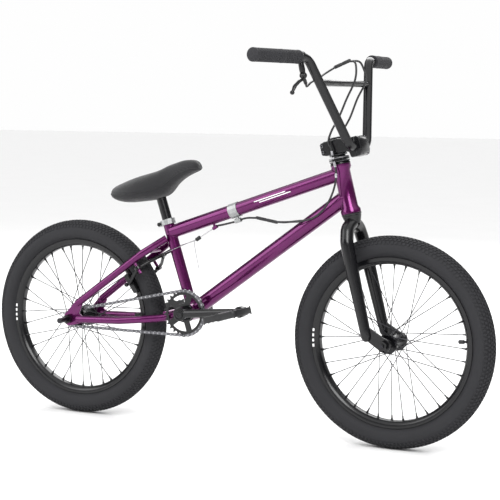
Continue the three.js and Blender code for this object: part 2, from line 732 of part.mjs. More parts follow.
// The fork dropout runs from the leg's foot forward to the axle, which sits in its round end.
function forkDropout(side) {
  const shape = new THREE.Shape();
  shape.absarc(FORK_OFFSET, 0, FORK_DROPOUT_RADIUS, rad(-110), rad(75), false);
  shape.lineTo(-FORK_LEG_SETBACK + 8, 52);
  shape.lineTo(-FORK_LEG_SETBACK - 8, 26);
  shape.closePath();
  const inner = side * (FRONT_HUB_HALF_WIDTH + GAP);
  const outer = side * (FRONT_HUB_HALF_WIDTH + GAP + DROPOUT_THICKNESS);
  return sidePlate(shape, inner, outer);
}

function makeFork() {
  const root = HEAD_TUBE_START - HEADSET_CAP_HEIGHT - GAP;
  const steererTop = stemTop - 2;
  const steererProfile = [
    [0, root - 12],
    [STEERER_RADIUS, root - 12],
    [STEERER_RADIUS, steererTop],
    [0, steererTop],
  ];
  const raceProfile = [
    [0, root - 20],
    [STEERER_RADIUS + 3, root - 20],
    [HEAD_TUBE_END_RADIUS - 1, root],
    [0, root],
  ];
  const steerer = column(steererProfile);
  const race = column(raceProfile);
  const solids = [steerer, race];
  for (const side of Object.values(SIDES)) solids.push(forkLeg(side), forkDropout(side));
  const bore = STEERER_RADIUS - STEERER_WALL;
  const reach = FRONT_HUB_HALF_WIDTH + 2 * DROPOUT_THICKNESS;
  const hole = FRONT_AXLE_RADIUS + GAP;
  const axleHole = drill(at(FORK_OFFSET, -reach, 0), at(FORK_OFFSET, reach, 0), hole);
  const hollow = rod(at(0, 0, HEAD_TUBE_START + 40), at(0, 0, steererTop + 1), bore);
  const mouthFoot = at(FORK_OFFSET - hole, -reach, -2 * FORK_DROPOUT_RADIUS);
  const mouth = block(mouthFoot, at(FORK_OFFSET + hole, reach, 0));
  return cut(join(solids), [axleHole, mouth, hollow]);
}

place(steering, "fork", makeFork(), "blackPaint");

// ---------------------------------------------------------------- stem and handlebar
const spacer = washer(steererBore, SPACER_RADIUS, spacerStart, spacerStart + SPACER_HEIGHT);
place(steering, "headset_spacer", spacer, "blackPaint");
const upperPlate = earedPlate(
  steererBore,
  STEM_RADIUS,
  upperPlateStart,
  DETANGLER_PLATE,
  upperPlateStart,
  upperBarrelEnd,
);
place(steering, "detangler_upper_plate", upperPlate, "steel");

const clampBottom = barCentreUp - STEM_CLAMP_HALF_HEIGHT;
const clampTop = barCentreUp + STEM_CLAMP_HALF_HEIGHT;
const clampRear = STEM_REACH - STEM_CLAMP_DEPTH + 3;
const stemInset = 4;

function barHole() {
  const reach = STEM_HALF_WIDTH + 1;
  const radius = BAR_RADIUS + GAP;
  return drill(at(STEM_REACH, -reach, barCentreUp), at(STEM_REACH, reach, barCentreUp), radius);
}

// The room that the detangler's ears sweep under the stem as the fork turns.
function detanglerSweep() {
  const reach = Math.hypot(CABLE_EAR_SPREAD + FERRULE_RADIUS, EAR_HALF_WIDTH) + EAR_SWEEP_CLEARANCE;
  return drill(at(0, 0, clampBottom - 1), at(0, 0, upperPlateStart), reach);
}

function makeStem() {
  const narrow = STEM_HALF_WIDTH - stemInset;
  const steererClamp = rod(at(0, 0, stemStart), at(0, 0, stemTop), STEM_RADIUS, STEM_RADIUS);
  const ears = block(at(-STEM_RADIUS - 12, -narrow + 2, stemStart + 5), at(-8, narrow - 2, stemTop - 3));
  const neck = block(at(4, -narrow + 1, stemStart), at(STEM_REACH - 12, narrow - 1, clampTop - 3));
  const frontFoot = at(clampRear, -STEM_HALF_WIDTH, clampBottom);
  const front = block(frontFoot, at(STEM_REACH - GAP, STEM_HALF_WIDTH, clampTop));
  const bore = drill(at(0, 0, stemStart - 1), at(0, 0, stemTop + 1), STEERER_RADIUS + GAP);
  const slot = block(at(-STEM_RADIUS - 20, -1.2, stemStart - 1), at(0, 1.2, stemTop + 1));
  return cut(join([steererClamp, ears, neck, front]), [bore, slot, barHole(), detanglerSweep()]);
}

function makeStemPlate() {
  const low = at(STEM_REACH + GAP, -STEM_HALF_WIDTH, clampBottom);
  return cut(block(low, at(STEM_REACH + STEM_CLAMP_DEPTH, STEM_HALF_WIDTH, clampTop)), [barHole()]);
}

place(steering, "stem", makeStem(), "blackPaint");
place(steering, "stem_clamp_plate", makeStemPlate(), "blackPaint");
const boltBore = STEERER_RADIUS - STEERER_WALL - 4;
const boltProfile = [
  [0, stemTop - 30],
  [boltBore, stemTop - 30],
  [boltBore, stemTop + GAP],
  [STEERER_RADIUS + 2, stemTop + GAP],
  [STEERER_RADIUS + 1, stemTop + 5],
  [0, stemTop + 5],
];
place(steering, "compression_bolt", column(boltProfile), "blackPaint");

const sweep = rad(BAR_BACKSWEEP);
const gripDirection = at(-Math.sin(sweep), Math.cos(sweep), Math.sin(rad(BAR_UPSWEEP)));
const gripHalfSpan = BAR_HALF_WIDTH - BAR_BEND_HALF_WIDTH;

// A point on the outer part of the handlebar, at a distance outward from its upper bend.
function onBarEnd(side, outward) {
  const along = outward / gripDirection.y;
  const up = barCentreUp + BAR_RISE + gripDirection.z * along;
  return at(STEM_REACH + gripDirection.x * along, side * (BAR_BEND_HALF_WIDTH + outward), up);
}

function makeHandlebar() {
  const halfBar = (side) => [
    at(STEM_REACH, side * BAR_LOW_HALF_WIDTH, barCentreUp),
    at(STEM_REACH, side * BAR_BEND_HALF_WIDTH, barCentreUp + BAR_RISE),
    onBarEnd(side, gripHalfSpan),
  ];
  const corners = [...halfBar(-1).reverse(), ...halfBar(1)];
  const share = CROSSBAR_UP / BAR_RISE;
  const reach = BAR_LOW_HALF_WIDTH + (BAR_BEND_HALF_WIDTH - BAR_LOW_HALF_WIDTH) * share;
  const up = barCentreUp + CROSSBAR_UP;
  const crossbarEnds = [at(STEM_REACH, -reach, up), at(STEM_REACH, reach, up)];
  const crossbar = rod(...crossbarEnds, CROSSBAR_RADIUS, CROSSBAR_RADIUS, 14);
  return join([tubeAlong(bendCorners(corners, BAR_BEND_RADIUS, 4), BAR_RADIUS, 12), crossbar]);
}

place(steering, "handlebar", makeHandlebar(), "blackPaint");

for (const [name, side] of Object.entries(SIDES)) {
  const outer = gripHalfSpan + GRIP_END;
  const inner = outer - GRIP_LENGTH;
  const boreRadius = BAR_RADIUS + GAP;
  const grip = rod(onBarEnd(side, inner), onBarEnd(side, outer), GRIP_RADIUS, GRIP_RADIUS);
  const bore = drill(onBarEnd(side, inner - 2), onBarEnd(side, gripHalfSpan + GAP), boreRadius);
  place(steering, `grip_${name}`, cut(grip, [bore]), "rubber");
}

// ---------------------------------------------------------------- brake lever
const leverClamp = onBarEnd(-1, LEVER_FROM_BEND);
const leverPivot = leverClamp.clone().add(at(-4, 5, -LEVER_DROP));
const leverTip = at(-17, -40, -35);
const barOutward = at(gripDirection.x, -gripDirection.y, gripDirection.z).normalize();
const leverAxis = leverTip.clone().cross(barOutward).normalize();
const leverDown = barOutward.clone().cross(leverAxis);
const leverRoute = [[0, 0], [2, 9], [14, 13], [31, 24], [40.6, 38.9]];
const leverBlade = leverRoute.map(([out, down]) =>
  leverPivot.clone().addScaledVector(barOutward, out).addScaledVector(leverDown, down),
);
const barrelEnd = leverPivot.clone().add(at(-8.4, 22, -17));
const cheekInner = 3.8;
const cheekOuter = 7.2;

function onLever(point, across) {
  return point.clone().addScaledVector(leverAxis, across);
}

function makeLeverBracket() {
  const half = LEVER_CLAMP_WIDTH / 2;
  const low = onBarEnd(-1, LEVER_FROM_BEND - half);
  const high = onBarEnd(-1, LEVER_FROM_BEND + half);
  const solids = [rod(low, high, BAR_RADIUS + 4.4, BAR_RADIUS + 4.4)];
  for (const way of [-1, 1]) {
    solids.push(rod(onLever(leverPivot, way * cheekInner), onLever(leverPivot, way * cheekOuter), 8, 8));
    const middle = (way * (cheekInner + cheekOuter)) / 2 + 2 * way;
    solids.push(rod(onLever(leverPivot, middle), onLever(leverClamp, middle), 2.6, 2.6, 10));
  }
  const bridge = leverPivot.clone().addScaledVector(barrelEnd.clone().sub(leverPivot).normalize(), 11);
  solids.push(rod(onLever(bridge, -cheekOuter), onLever(bridge, cheekOuter), 3.6, 3.6, 12));
  solids.push(rod(bridge, barrelEnd, 4.4, 4, 12));
  const boreEnds = [onBarEnd(-1, LEVER_FROM_BEND - 12), onBarEnd(-1, LEVER_FROM_BEND + 12)];
  const bore = drill(...boreEnds, BAR_RADIUS + GAP);
  return cut(join(solids), [bore]);
}

function makeLeverBlade() {
  const root = rod(onLever(leverPivot, -3.3), onLever(leverPivot, 3.3), 6.4, 6.4);
  const thin = tubeAlong(bendCorners(leverBlade, 8, 2), LEVER_BLADE_RADIUS, 8);
  const wide = tubeAlong(bendCorners(leverBlade.slice(2), 8, 3), LEVER_BLADE_RADIUS + 1.4, 8);
  const tip = leverBlade[leverBlade.length - 1];
  return join([root, thin, wide, new THREE.SphereGeometry(5.4, 8, 5).translate(tip.x, tip.y, tip.z)]);
}

place(steering, "brake_lever_bracket", makeLeverBracket(), "blackPaint");
place(steering, "brake_lever", makeLeverBlade(), "blackPaint");

// ---------------------------------------------------------------- brake cables
// The upper cable leaves the lever, splits in two, and reaches both ears of the detangler's upper plate.
function aboveBar(ahead, left, up) {
  return at(STEM_REACH + ahead, left, barCentreUp + up);
}

// A point given down from the height of the bar's grips.
function belowGrips(ahead, left, down) {
  return aboveBar(ahead, left, BAR_RISE - down);
}

const upperSplitterStart = belowGrips(-7, -25, 19);
const upperSplitterEnd = belowGrips(34, -12, 10.5);

function upperBranch(side) {
  const lean = side > 0 ? 5 : 0;
  const end = upperBarrelEnd + 2 * GAP;
  return [
    upperSplitterStart.clone().lerp(upperSplitterEnd, 0.8).add(at(0, side, 0)),
    belowGrips(44 + lean, side * 8 - 9, 18),
    belowGrips(47 + lean, side * 16 - 7, 36),
    belowGrips(39 + lean, side * 27, 62),
    aboveBar(10, side * 31, 113),
    aboveBar(-20, side * 33, 74),
    aboveBar(-46, side * (CABLE_EAR_SPREAD + 1), 47),
    at(-3, side * (CABLE_EAR_SPREAD + 1), end + 22),
    at(0, side * CABLE_EAR_SPREAD, end + 6),
    at(0, side * CABLE_EAR_SPREAD, end),
  ];
}

function makeUpperCable() {
  const away = barrelEnd.clone().sub(leverPivot).normalize();
  const lead = [
    barrelEnd.clone().addScaledVector(away, 6 * GAP),
    barrelEnd.clone().addScaledVector(away, 9),
    belowGrips(-18, -148, 54),
    belowGrips(-17, -110, 45),
    belowGrips(-13, -60, 30),
    upperSplitterStart.clone().lerp(upperSplitterEnd, 0.1),
  ];
  return join([
    cableAlong(lead, CABLE_RADIUS, 8),
    rod(upperSplitterStart, upperSplitterEnd, SPLITTER_RADIUS, SPLITTER_RADIUS, 14),
    cableAlong(upperBranch(-1), CABLE_RADIUS, 17),
    cableAlong(upperBranch(1), CABLE_RADIUS, 17),
  ]);
}

place(steering, "upper_brake_cable", makeUpperCable(), "blackPlastic");

// The lower cable leaves both ears of the lower plate, joins in a splitter and runs on to the cable stop.
const lowerSplitterStart = onTopTube(246.5, 0, -34);
const lowerSplitterEnd = onTopTube(301, 0, -63);

function lowerBranch(side) {
  const end = lowerBarrelStart - 2 * GAP;
  return [
    lowerSplitterStart.clone().lerp(lowerSplitterEnd, 0.85).add(at(0, side, 0)),
    onTopTube(322, side * 8, -68.5),
    onTopTube(347, side * 18, -73.8),
    onTopTube(374.5, side * 25, -80),
    onSteering(-85, side * 27, end - 104),
    onSteering(-52, side * 29, end - 88),
    onSteering(-24, side * 31, end - 60),
    onSteering(-6, side * CABLE_EAR_SPREAD, end - 30),
    onSteering(0, side * CABLE_EAR_SPREAD, end - 8),
    onSteering(0, side * CABLE_EAR_SPREAD, end),
  ];
}

function makeLowerCable() {
  const single = [
    onPull(stopRear, STOP_HOUSING_SEAT + 2 * GAP),
    onPull(stopRear, STOP_LENGTH + 1.5),
    onTopTube(150, 0, -24.5),
    onTopTube(168, 0, -26),
    onTopTube(BAND_ALONG_TOP_TUBE - 2, 0, -BAND_CABLE_DROP),
    onTopTube(BAND_ALONG_TOP_TUBE + BAND_WIDTH + 2, 0, -BAND_CABLE_DROP),
    onTopTube(226, 0, -29),
    lowerSplitterStart.clone().lerp(lowerSplitterEnd, 0.1),
  ];
  return join([
    cableAlong(single, CABLE_RADIUS, 17),
    rod(lowerSplitterStart, lowerSplitterEnd, SPLITTER_RADIUS, SPLITTER_RADIUS, 14),
    cableAlong(lowerBranch(-1), CABLE_RADIUS, 17),
    cableAlong(lowerBranch(1), CABLE_RADIUS, 17),
  ]);
}

place(bicycle, "lower_brake_cable", makeLowerCable(), "blackPlastic");

// A band round the top tube holds the housing below it.
function makeCableBand() {
  const along = (margin, drop) => [
    onTopTube(BAND_ALONG_TOP_TUBE - margin, 0, -drop),
    onTopTube(BAND_ALONG_TOP_TUBE + BAND_WIDTH + margin, 0, -drop),
  ];
  const inner = TOP_TUBE_RADIUS + GAP;
  const hole = CABLE_RADIUS + 4 * GAP;
  const middle = BAND_ALONG_TOP_TUBE + BAND_WIDTH / 2;
  const solids = [
    rod(...along(0, 0), inner + 1.8, inner + 1.8),
    rod(...along(-4, BAND_CABLE_DROP), hole + 2, hole + 2),
    rod(onTopTube(middle, 0, -inner - 0.5), onTopTube(middle, 0, -BAND_CABLE_DROP), 5, 5, 12),
  ];
  const tubeHole = rod(...along(2, 0), inner, inner);
  const cableHole = rod(...along(2, BAND_CABLE_DROP), hole, hole);
  return cut(join(solids), [tubeHole, cableHole]);
}

place(bicycle, "top_tube_cable_clamp", makeCableBand(), "silverBand");

// ---------------------------------------------------------------- rear brake
const brake = subGroup(bicycle, rearAxle, -rad(SEATSTAY_ANGLE));
const armLayers = { right: -5, left: -15.5 };
const padLayer = -21;
const padAlong = (rimOuterRadius + rimInnerRadius) / 2 - 3;
const padFace = RIM_HALF_WIDTH + BRAKE_PAD_CLEARANCE;
const padThickness = 9;

// Each arm reaches down its own side of the tyre to the pad.
// It crosses over above the tyre to the straddle wire.
function makeBrakeArm(side, layer) {
  const pivot = at(BRAKE_PIVOT_UP_STAY, side * BRAKE_PIVOT_SPREAD, layer);
  const route = [
    at(padAlong - 4, side * BRAKE_ARM_END_SPREAD, padLayer),
    at(padAlong + 10, side * BRAKE_ARM_END_SPREAD, padLayer),
    pivot,
    at(BRAKE_PIVOT_UP_STAY + 26, side * 27, layer),
    at(BRAKE_ANCHOR_UP_STAY - 12, -side * (BRAKE_ANCHOR_SPREAD - 12), layer),
    at(BRAKE_ANCHOR_UP_STAY, -side * BRAKE_ANCHOR_SPREAD, layer),
  ];
  const across = (half) => [pivot.clone().add(at(0, 0, -half)), pivot.clone().add(at(0, 0, half))];
  const boss = rod(...across(BRAKE_ARM_RADIUS), BRAKE_BOSS_RADIUS, BRAKE_BOSS_RADIUS);
  const anchor = route[route.length - 1];
  const tip = rod(anchor.clone().add(at(0, 0, -4.4)), anchor.clone().add(at(0, 0, 4.4)), 5.5, 5.5, 12);
  const arm = tubeAlong(bendCorners(route, 18, 1), BRAKE_ARM_RADIUS, 8);
  const postHole = drill(...across(4 * BRAKE_ARM_RADIUS), BRAKE_POST_RADIUS + GAP);
  return cut(join([arm, boss, tip]), [postHole]);
}

function makeBrakePad(side) {
  const faces = [side * padFace, side * (padFace + padThickness)].sort((a, b) => a - b);
  const half = BRAKE_PAD_LENGTH / 2;
  const shoeFoot = at(padAlong - PAD_HALF_HEIGHT, faces[0], padLayer - half);
  const shoe = block(shoeFoot, at(padAlong + PAD_HALF_HEIGHT, faces[1], padLayer + half));
  const studEnd = BRAKE_ARM_END_SPREAD - BRAKE_ARM_RADIUS - GAP;
  const studStart = at(padAlong, side * (padFace + PAD_HALF_HEIGHT), padLayer);
  const stud = rod(studStart, at(padAlong, side * studEnd, padLayer), PAD_STUD_RADIUS, PAD_STUD_RADIUS);
  return join([shoe, stud]);
}

for (const [name, side] of Object.entries(SIDES)) {
  place(brake, `brake_arm_${name}`, makeBrakeArm(side, armLayers[name]), "blackPaint");
  place(brake, `brake_pad_${name}`, makeBrakePad(side), "blackPlastic");
}

// The straddle wire runs from both arms round the seat tube to its hanger, and on into the cable stop.
const bridgeCentre = onPull(hangerCentre, -7);

function makeStraddleWire() {
  const branch = (side, layer) => {
    const start = onSeatstay(BRAKE_ANCHOR_UP_STAY + 7, side * BRAKE_ANCHOR_SPREAD, layer + 2);
    return rod(start, bridgeCentre.clone().add(at(0, side * 8, 0)), WIRE_RADIUS, WIRE_RADIUS, 8);
  };
  const bridgeEnd = (side) => bridgeCentre.clone().add(at(0, side * BRIDGE_HALF_WIDTH, 0));
  const bridge = rod(bridgeEnd(-1), bridgeEnd(1), BRIDGE_RADIUS, BRIDGE_RADIUS, SMALL_SIDES);
  const pull = rod(bridgeCentre, onPull(stopRear, STOP_HOUSING_SEAT / 2), WIRE_RADIUS, WIRE_RADIUS, 8);
  const tail = [
    bridgeCentre.clone().add(at(0, -8, 0)),
    bridgeCentre.clone().add(at(2, -9.5, -14)),
    bridgeCentre.clone().add(at(8, -10, -42)),
    bridgeCentre.clone().add(at(16, -10, -76)),
  ];
  const branches = [branch(-1, armLayers.left), branch(1, armLayers.right)];
  return join([...branches, bridge, pull, cableAlong(tail, WIRE_RADIUS, 8)]);
}

function makeHanger() {
  const hole = WIRE_RADIUS + GAP;
  const body = rod(onPull(hangerCentre, -5), onPull(hangerCentre, 7), 5, 5, 14);
  return cut(body, [rod(onPull(hangerCentre, -6), onPull(hangerCentre, 8), hole, hole, 12)]);
}

place(bicycle, "straddle_wire", makeStraddleWire(), "steel");
place(bicycle, "straddle_hanger", makeHanger(), "blackPaint");

// ---------------------------------------------------------------- wheels
function tyreArc(radial, half, steps) {
  const centre = TYRE_RADIUS - (TYRE_HALF_WIDTH - 1.5);
  const points = [];
  for (let i = 0; i <= steps; i += 1) {
    const angle = rad(TYRE_BEAD_ANGLE * (1 - (2 * i) / steps));
    points.push([centre + radial * Math.cos(angle), half * Math.sin(angle)]);
  }
  return points;
}

function makeTyre() {
  const bead = RIM_HALF_WIDTH - RIM_FLANGE - 1.2 * GAP;
  const beadRadius = rimWellRadius + 1;
  const wall = TYRE_WALL;
  const outer = tyreArc(TYRE_HALF_WIDTH - 1.5, TYRE_HALF_WIDTH, 6);
  const inner = tyreArc(TYRE_HALF_WIDTH - 1.5 - wall, TYRE_HALF_WIDTH - wall, 4).reverse();
  const profile = [
    [beadRadius, bead],
    [rimOuterRadius + GAP, bead],
    ...outer,
    [rimOuterRadius + GAP, -bead],
    [beadRadius, -bead],
    [beadRadius, -bead + wall],
    [rimOuterRadius + 1, -bead + wall],
    ...inner,
    [rimOuterRadius + 1, bead - wall],
    [beadRadius, bead - wall],
  ];
  return turned(profile, WHEEL_SEGMENTS);
}

function makeRim() {
  const bedHalf = RIM_HALF_WIDTH - RIM_FLANGE;
  const half = [
    [rimInnerRadius, RIM_BED_HALF_WIDTH],
    [rimWellRadius - 2, RIM_HALF_WIDTH],
    [rimOuterRadius, RIM_HALF_WIDTH],
    [rimOuterRadius, bedHalf],
    [rimWellRadius, bedHalf],
  ];
  const other = half.map(([radius, along]) => [radius, -along]).reverse();
  return turned([...half, ...other], WHEEL_SEGMENTS);
}

// The spokes of one side lean both ways, one layer over the other.
// A thin ring at their heads makes them one body.
function makeSpokes(side, flangeRadius, flangeFace) {
  const hubRadius = flangeRadius - SPOKE_HEAD_INSET;
  const rimRadius = rimInnerRadius * Math.cos(Math.PI / WHEEL_SEGMENTS) - 2 * GAP;
  const layer = SPOKE_RADIUS + GAP / 2;
  const hubAlong = flangeFace + GAP + 2 * layer + SPOKE_RADIUS;
  const headRing = [side * (flangeFace + GAP), side * (hubAlong + layer)].sort((a, b) => a - b);
  const solids = [ring(hubRadius - 2, hubRadius + 2, headRing[0], headRing[1])];
  const point = (radius, degrees, along) => {
    const angle = rad(degrees);
    return at(radius * Math.cos(angle), side * along, radius * Math.sin(angle));
  };
  const pitch = 720 / SPOKES_PER_SIDE;
  const shift = side > 0 ? pitch / 4 : 0;
  for (let i = 0; i < SPOKES_PER_SIDE / 2; i += 1) {
    for (const lean of [-1, 1]) {
      const foot = i * pitch + shift + ((1 - lean) * pitch) / 4;
      const from = point(hubRadius, foot, hubAlong + lean * layer);
      const to = point(rimRadius, foot + lean * SPOKE_CROSS_ANGLE, SPOKE_RIM_OFFSET + lean * layer);
      solids.push(rod(from, to, SPOKE_RADIUS, SPOKE_RADIUS, 3));
    }
  }
  return join(solids);
}

// A hub's shell with two flanges, from one end to the other along the axle.
function makeHub(axleRadius, flangeRadius, flangeOffset, endRadius, rightEnd, leftEnd) {
  const half = FLANGE_THICKNESS / 2;
  const bore = (axleRadius + GAP) * flatness;
  const profile = [
    [bore, -rightEnd],
    [endRadius, -rightEnd],
    [endRadius, -flangeOffset - half],
    [flangeRadius, -flangeOffset - half],
    [flangeRadius, -flangeOffset + half],
    [HUB_SHELL_RADIUS, -flangeOffset + half + 4],
    [HUB_SHELL_RADIUS, flangeOffset - half - 4],
    [flangeRadius, flangeOffset - half],
    [flangeRadius, flangeOffset + half],
    [endRadius, flangeOffset + half],
    [endRadius, leftEnd],
    [bore, leftEnd],
  ];
  return turned(profile);
}

function makeWheel(group, name, flangeRadius, flangeOffset) {
  place(group, `${name}_tyre`, makeTyre(), "rubber");
  place(group, `${name}_rim`, makeRim(), "blackPaint");
  for (const [sideName, side] of Object.entries(SIDES)) {
    const spokes = makeSpokes(side, flangeRadius, flangeOffset + FLANGE_THICKNESS / 2);
    place(group, `${name}_spokes_${sideName}`, spokes, "darkSteel");
  }
}

function makeAxle(group, name, radius, halfLength, face, nutLength) {
  const axle = rod(at(0, -halfLength, 0), at(0, halfLength, 0), radius, radius);
  place(group, `${name}_axle`, axle, "steel");
  for (const [sideName, side] of Object.entries(SIDES)) {
    const inner = side * (face + DROPOUT_THICKNESS + 2 * GAP);
    const outer = inner + side * nutLength;
    const nut = rod(at(0, inner, 0), at(0, outer, 0), AXLE_NUT_RADIUS, AXLE_NUT_RADIUS, 6);
    const bore = drill(at(0, inner - side, 0), at(0, outer + side, 0), radius + GAP);
    place(group, `${name}_axle_nut_${sideName}`, cut(nut, [bore]), "blackPaint");
  }
}

const frontWheel = subGroup(bicycle, frontAxle);
const frontEnd = FRONT_HUB_HALF_WIDTH - GAP;
makeWheel(frontWheel, "front", FRONT_FLANGE_RADIUS, FRONT_FLANGE_OFFSET);
const frontHub = makeHub(
  FRONT_AXLE_RADIUS,
  FRONT_FLANGE_RADIUS,
  FRONT_FLANGE_OFFSET,
  HUB_END_RADIUS,
  frontEnd,
  frontEnd,
);
place(frontWheel, "front_hub", frontHub, "blackPaint");
makeAxle(
  frontWheel,
  "front",
  FRONT_AXLE_RADIUS,
  FRONT_AXLE_HALF_LENGTH,
  FRONT_HUB_HALF_WIDTH,
  FRONT_NUT_LENGTH,
);

const rearWheel = subGroup(bicycle, rearAxle);
const rearEnd = REAR_HUB_HALF_WIDTH - GAP;
makeWheel(rearWheel, "rear", REAR_FLANGE_RADIUS, REAR_FLANGE_OFFSET);
const rearHub = makeHub(
  REAR_AXLE_RADIUS,
  REAR_FLANGE_RADIUS,
  REAR_FLANGE_OFFSET,
  HUB_END_RADIUS,
  DRIVER_START - GAP,
  rearEnd,
);
place(rearWheel, "rear_hub", rearHub, "blackPaint");
makeAxle(rearWheel, "rear", REAR_AXLE_RADIUS, REAR_AXLE_HALF_LENGTH, REAR_HUB_HALF_WIDTH, REAR_NUT_LENGTH);

// ---------------------------------------------------------------- drive
// A toothed wheel's outline: each tooth is a blunt trapezium.
function toothedOutline(teeth, pitchRadius) {
  const points = [];
  const low = pitchRadius - TOOTH_DEPTH;
  const high = pitchRadius + TOOTH_HEIGHT;
  const steps = [[0.1, low], [0.42, high], [0.78, high]];
  for (let i = 0; i < teeth; i += 1) {
    for (const [share, radius] of steps) {
      const angle = ((i + share) / teeth) * 2 * Math.PI;
      points.push(new THREE.Vector2(radius * Math.cos(angle), radius * Math.sin(angle)));
    }
  }
  return new THREE.Shape(points);
}

function chainPlate(shape, width, curveSegments = 5) {
  return sidePlate(shape, -CHAIN_LINE - width / 2, -CHAIN_LINE + width / 2, curveSegments);
}

function makeDriver() {
  const from = -DRIVER_START;
  const end = from - DRIVER_LENGTH;
  const bore = REAR_AXLE_RADIUS + GAP;
  const profile = [
    [bore, -rearEnd],
    [HUB_END_RADIUS, -rearEnd],
    [HUB_END_RADIUS, end],
    [DRIVER_RADIUS - 1.5, end],
    [DRIVER_RADIUS - 1.5, from],
    [bore, from],
  ];
  const hole = drill(at(0, -REAR_HUB_HALF_WIDTH, 0), at(0, -DRIVER_START + 1, 0), bore);
  const teeth = chainPlate(toothedOutline(COG_TEETH, cogPitchRadius), SPROCKET_THICKNESS);
  return cut(join([turned(profile), teeth]), [hole]);
}

place(rearWheel, "driver_cog", makeDriver(), "darkSteel");

const crankSpin = subGroup(bicycle, shellCentre);
const spindle = rod(at(0, -SPINDLE_HALF_LENGTH, 0), at(0, SPINDLE_HALF_LENGTH, 0), SPINDLE_RADIUS);
place(crankSpin, "crank_spindle", spindle, "blackPaint");

function makeSprocket() {
  const plate = chainPlate(toothedOutline(SPROCKET_TEETH, sprocketPitchRadius), SPROCKET_THICKNESS);
  const rimInner = sprocketPitchRadius - TOOTH_DEPTH - 7;
  const hubOuter = 25;
  const armHalf = rad(11);
  const windows = [];
  for (let i = 0; i < SPROCKET_ARMS; i += 1) {
    const start = (i / SPROCKET_ARMS) * 2 * Math.PI + armHalf;
    const end = ((i + 1) / SPROCKET_ARMS) * 2 * Math.PI - armHalf;
    const shape = new THREE.Shape();
    shape.absarc(0, 0, rimInner, start, end, false);
    shape.absarc(0, 0, hubOuter, end - 0.12, start + 0.12, true);
    shape.closePath();
    windows.push(chainPlate(shape, 3 * SPROCKET_THICKNESS));
  }
  const inner = SPINDLE_RADIUS + GAP;
  const boss = ring(inner, CRANK_BOSS_RADIUS, -CRANK_BOSS_IN + GAP, -SHELL_HALF_WIDTH - 1);
  const bore = rod(at(0, -CRANK_BOSS_IN - 2, 0), at(0, -SHELL_HALF_WIDTH, 0), inner, inner, 32);
  return cut(join([plate, boss]), [...windows, bore]);
}

place(crankSpin, "sprocket", makeSprocket(), "blackPaint");

// The chain is one closed band round both toothed wheels.
function chainOutline(offset) {
  const big = sprocketPitchRadius + offset;
  const small = cogPitchRadius + offset;
  const lean = Math.atan2(BOTTOM_BRACKET_RISE, shellX - rearAxle.x);
  const beta = Math.asin((big - small) / CHAINSTAY_LENGTH);
  const quarter = Math.PI / 2;
  const shape = new THREE.Shape();
  const centre = new THREE.Vector2(CHAINSTAY_LENGTH * Math.cos(lean), CHAINSTAY_LENGTH * Math.sin(lean));
  shape.absarc(centre.x, centre.y, big, lean - quarter - beta, lean + quarter + beta, false);
  shape.absarc(0, 0, small, lean + quarter + beta, lean + 3 * quarter - beta, false);
  shape.closePath();
  return shape;
}

function makeChain() {
  const bandOf = (offset, width) => chainPlate(chainOutline(offset), width, CHAIN_ARC_STEPS);
  const hollow = bandOf(-CHAIN_HEIGHT / 2, 2 * CHAIN_WIDTH);
  return cut(bandOf(CHAIN_HEIGHT / 2, CHAIN_WIDTH), [hollow, bandOf(CHAIN_SLOT_RISE, CHAIN_SLOT)]);
}

place(rearWheel, "chain", makeChain(), "darkSteel");

// ---------------------------------------------------------------- cranks and pedals
function makeCrankArm(side) {
  const bossEnds = [at(0, side * CRANK_BOSS_IN, 0), at(0, side * CRANK_BOSS_OUT, 0)];
  const boss = rod(...bossEnds, CRANK_BOSS_RADIUS, CRANK_BOSS_RADIUS);
  const eyeEnds = [at(CRANK_LENGTH, side * PEDAL_BOSS_IN, 0), at(CRANK_LENGTH, side * PEDAL_BOSS_OUT, 0)];
  const eye = rod(...eyeEnds, PEDAL_BOSS_RADIUS);
  const arm = rod(
    at(0, (side * (CRANK_BOSS_IN + CRANK_BOSS_OUT)) / 2, 0),
    at(CRANK_LENGTH, (side * (PEDAL_BOSS_IN + PEDAL_BOSS_OUT)) / 2, 0),
    CRANK_ARM_RADIUS,
    (PEDAL_BOSS_OUT - PEDAL_BOSS_IN) / 2 - GAP,
  );
  const hole = SPINDLE_RADIUS + GAP;
  const bore = rod(at(0, side * (CRANK_BOSS_IN - 5), 0), at(0, side * (CRANK_BOSS_OUT + 15), 0), hole, hole);
  const trimReach = 2 * PEDAL_BOSS_RADIUS + 2;
  const trimEnds = [0, side * CRANK_BOSS_IN].sort((a, b) => a - b);
  const trim = block(at(-trimReach, trimEnds[0], -trimReach), at(trimReach, trimEnds[1], trimReach));
  return cut(join([boss, eye, arm]), [bore, trim]);
}

function makePedalAxle(side) {
  const from = PEDAL_BOSS_OUT + GAP;
  const collar = rod(at(0, side * from, 0), at(0, side * (PEDAL_IN - 1), 0), PEDAL_AXLE_RADIUS + 3);
  const to = PEDAL_IN + PEDAL_WIDTH - 6;
  return join([collar, rod(at(0, side * from, 0), at(0, side * to, 0), PEDAL_AXLE_RADIUS)]);
}

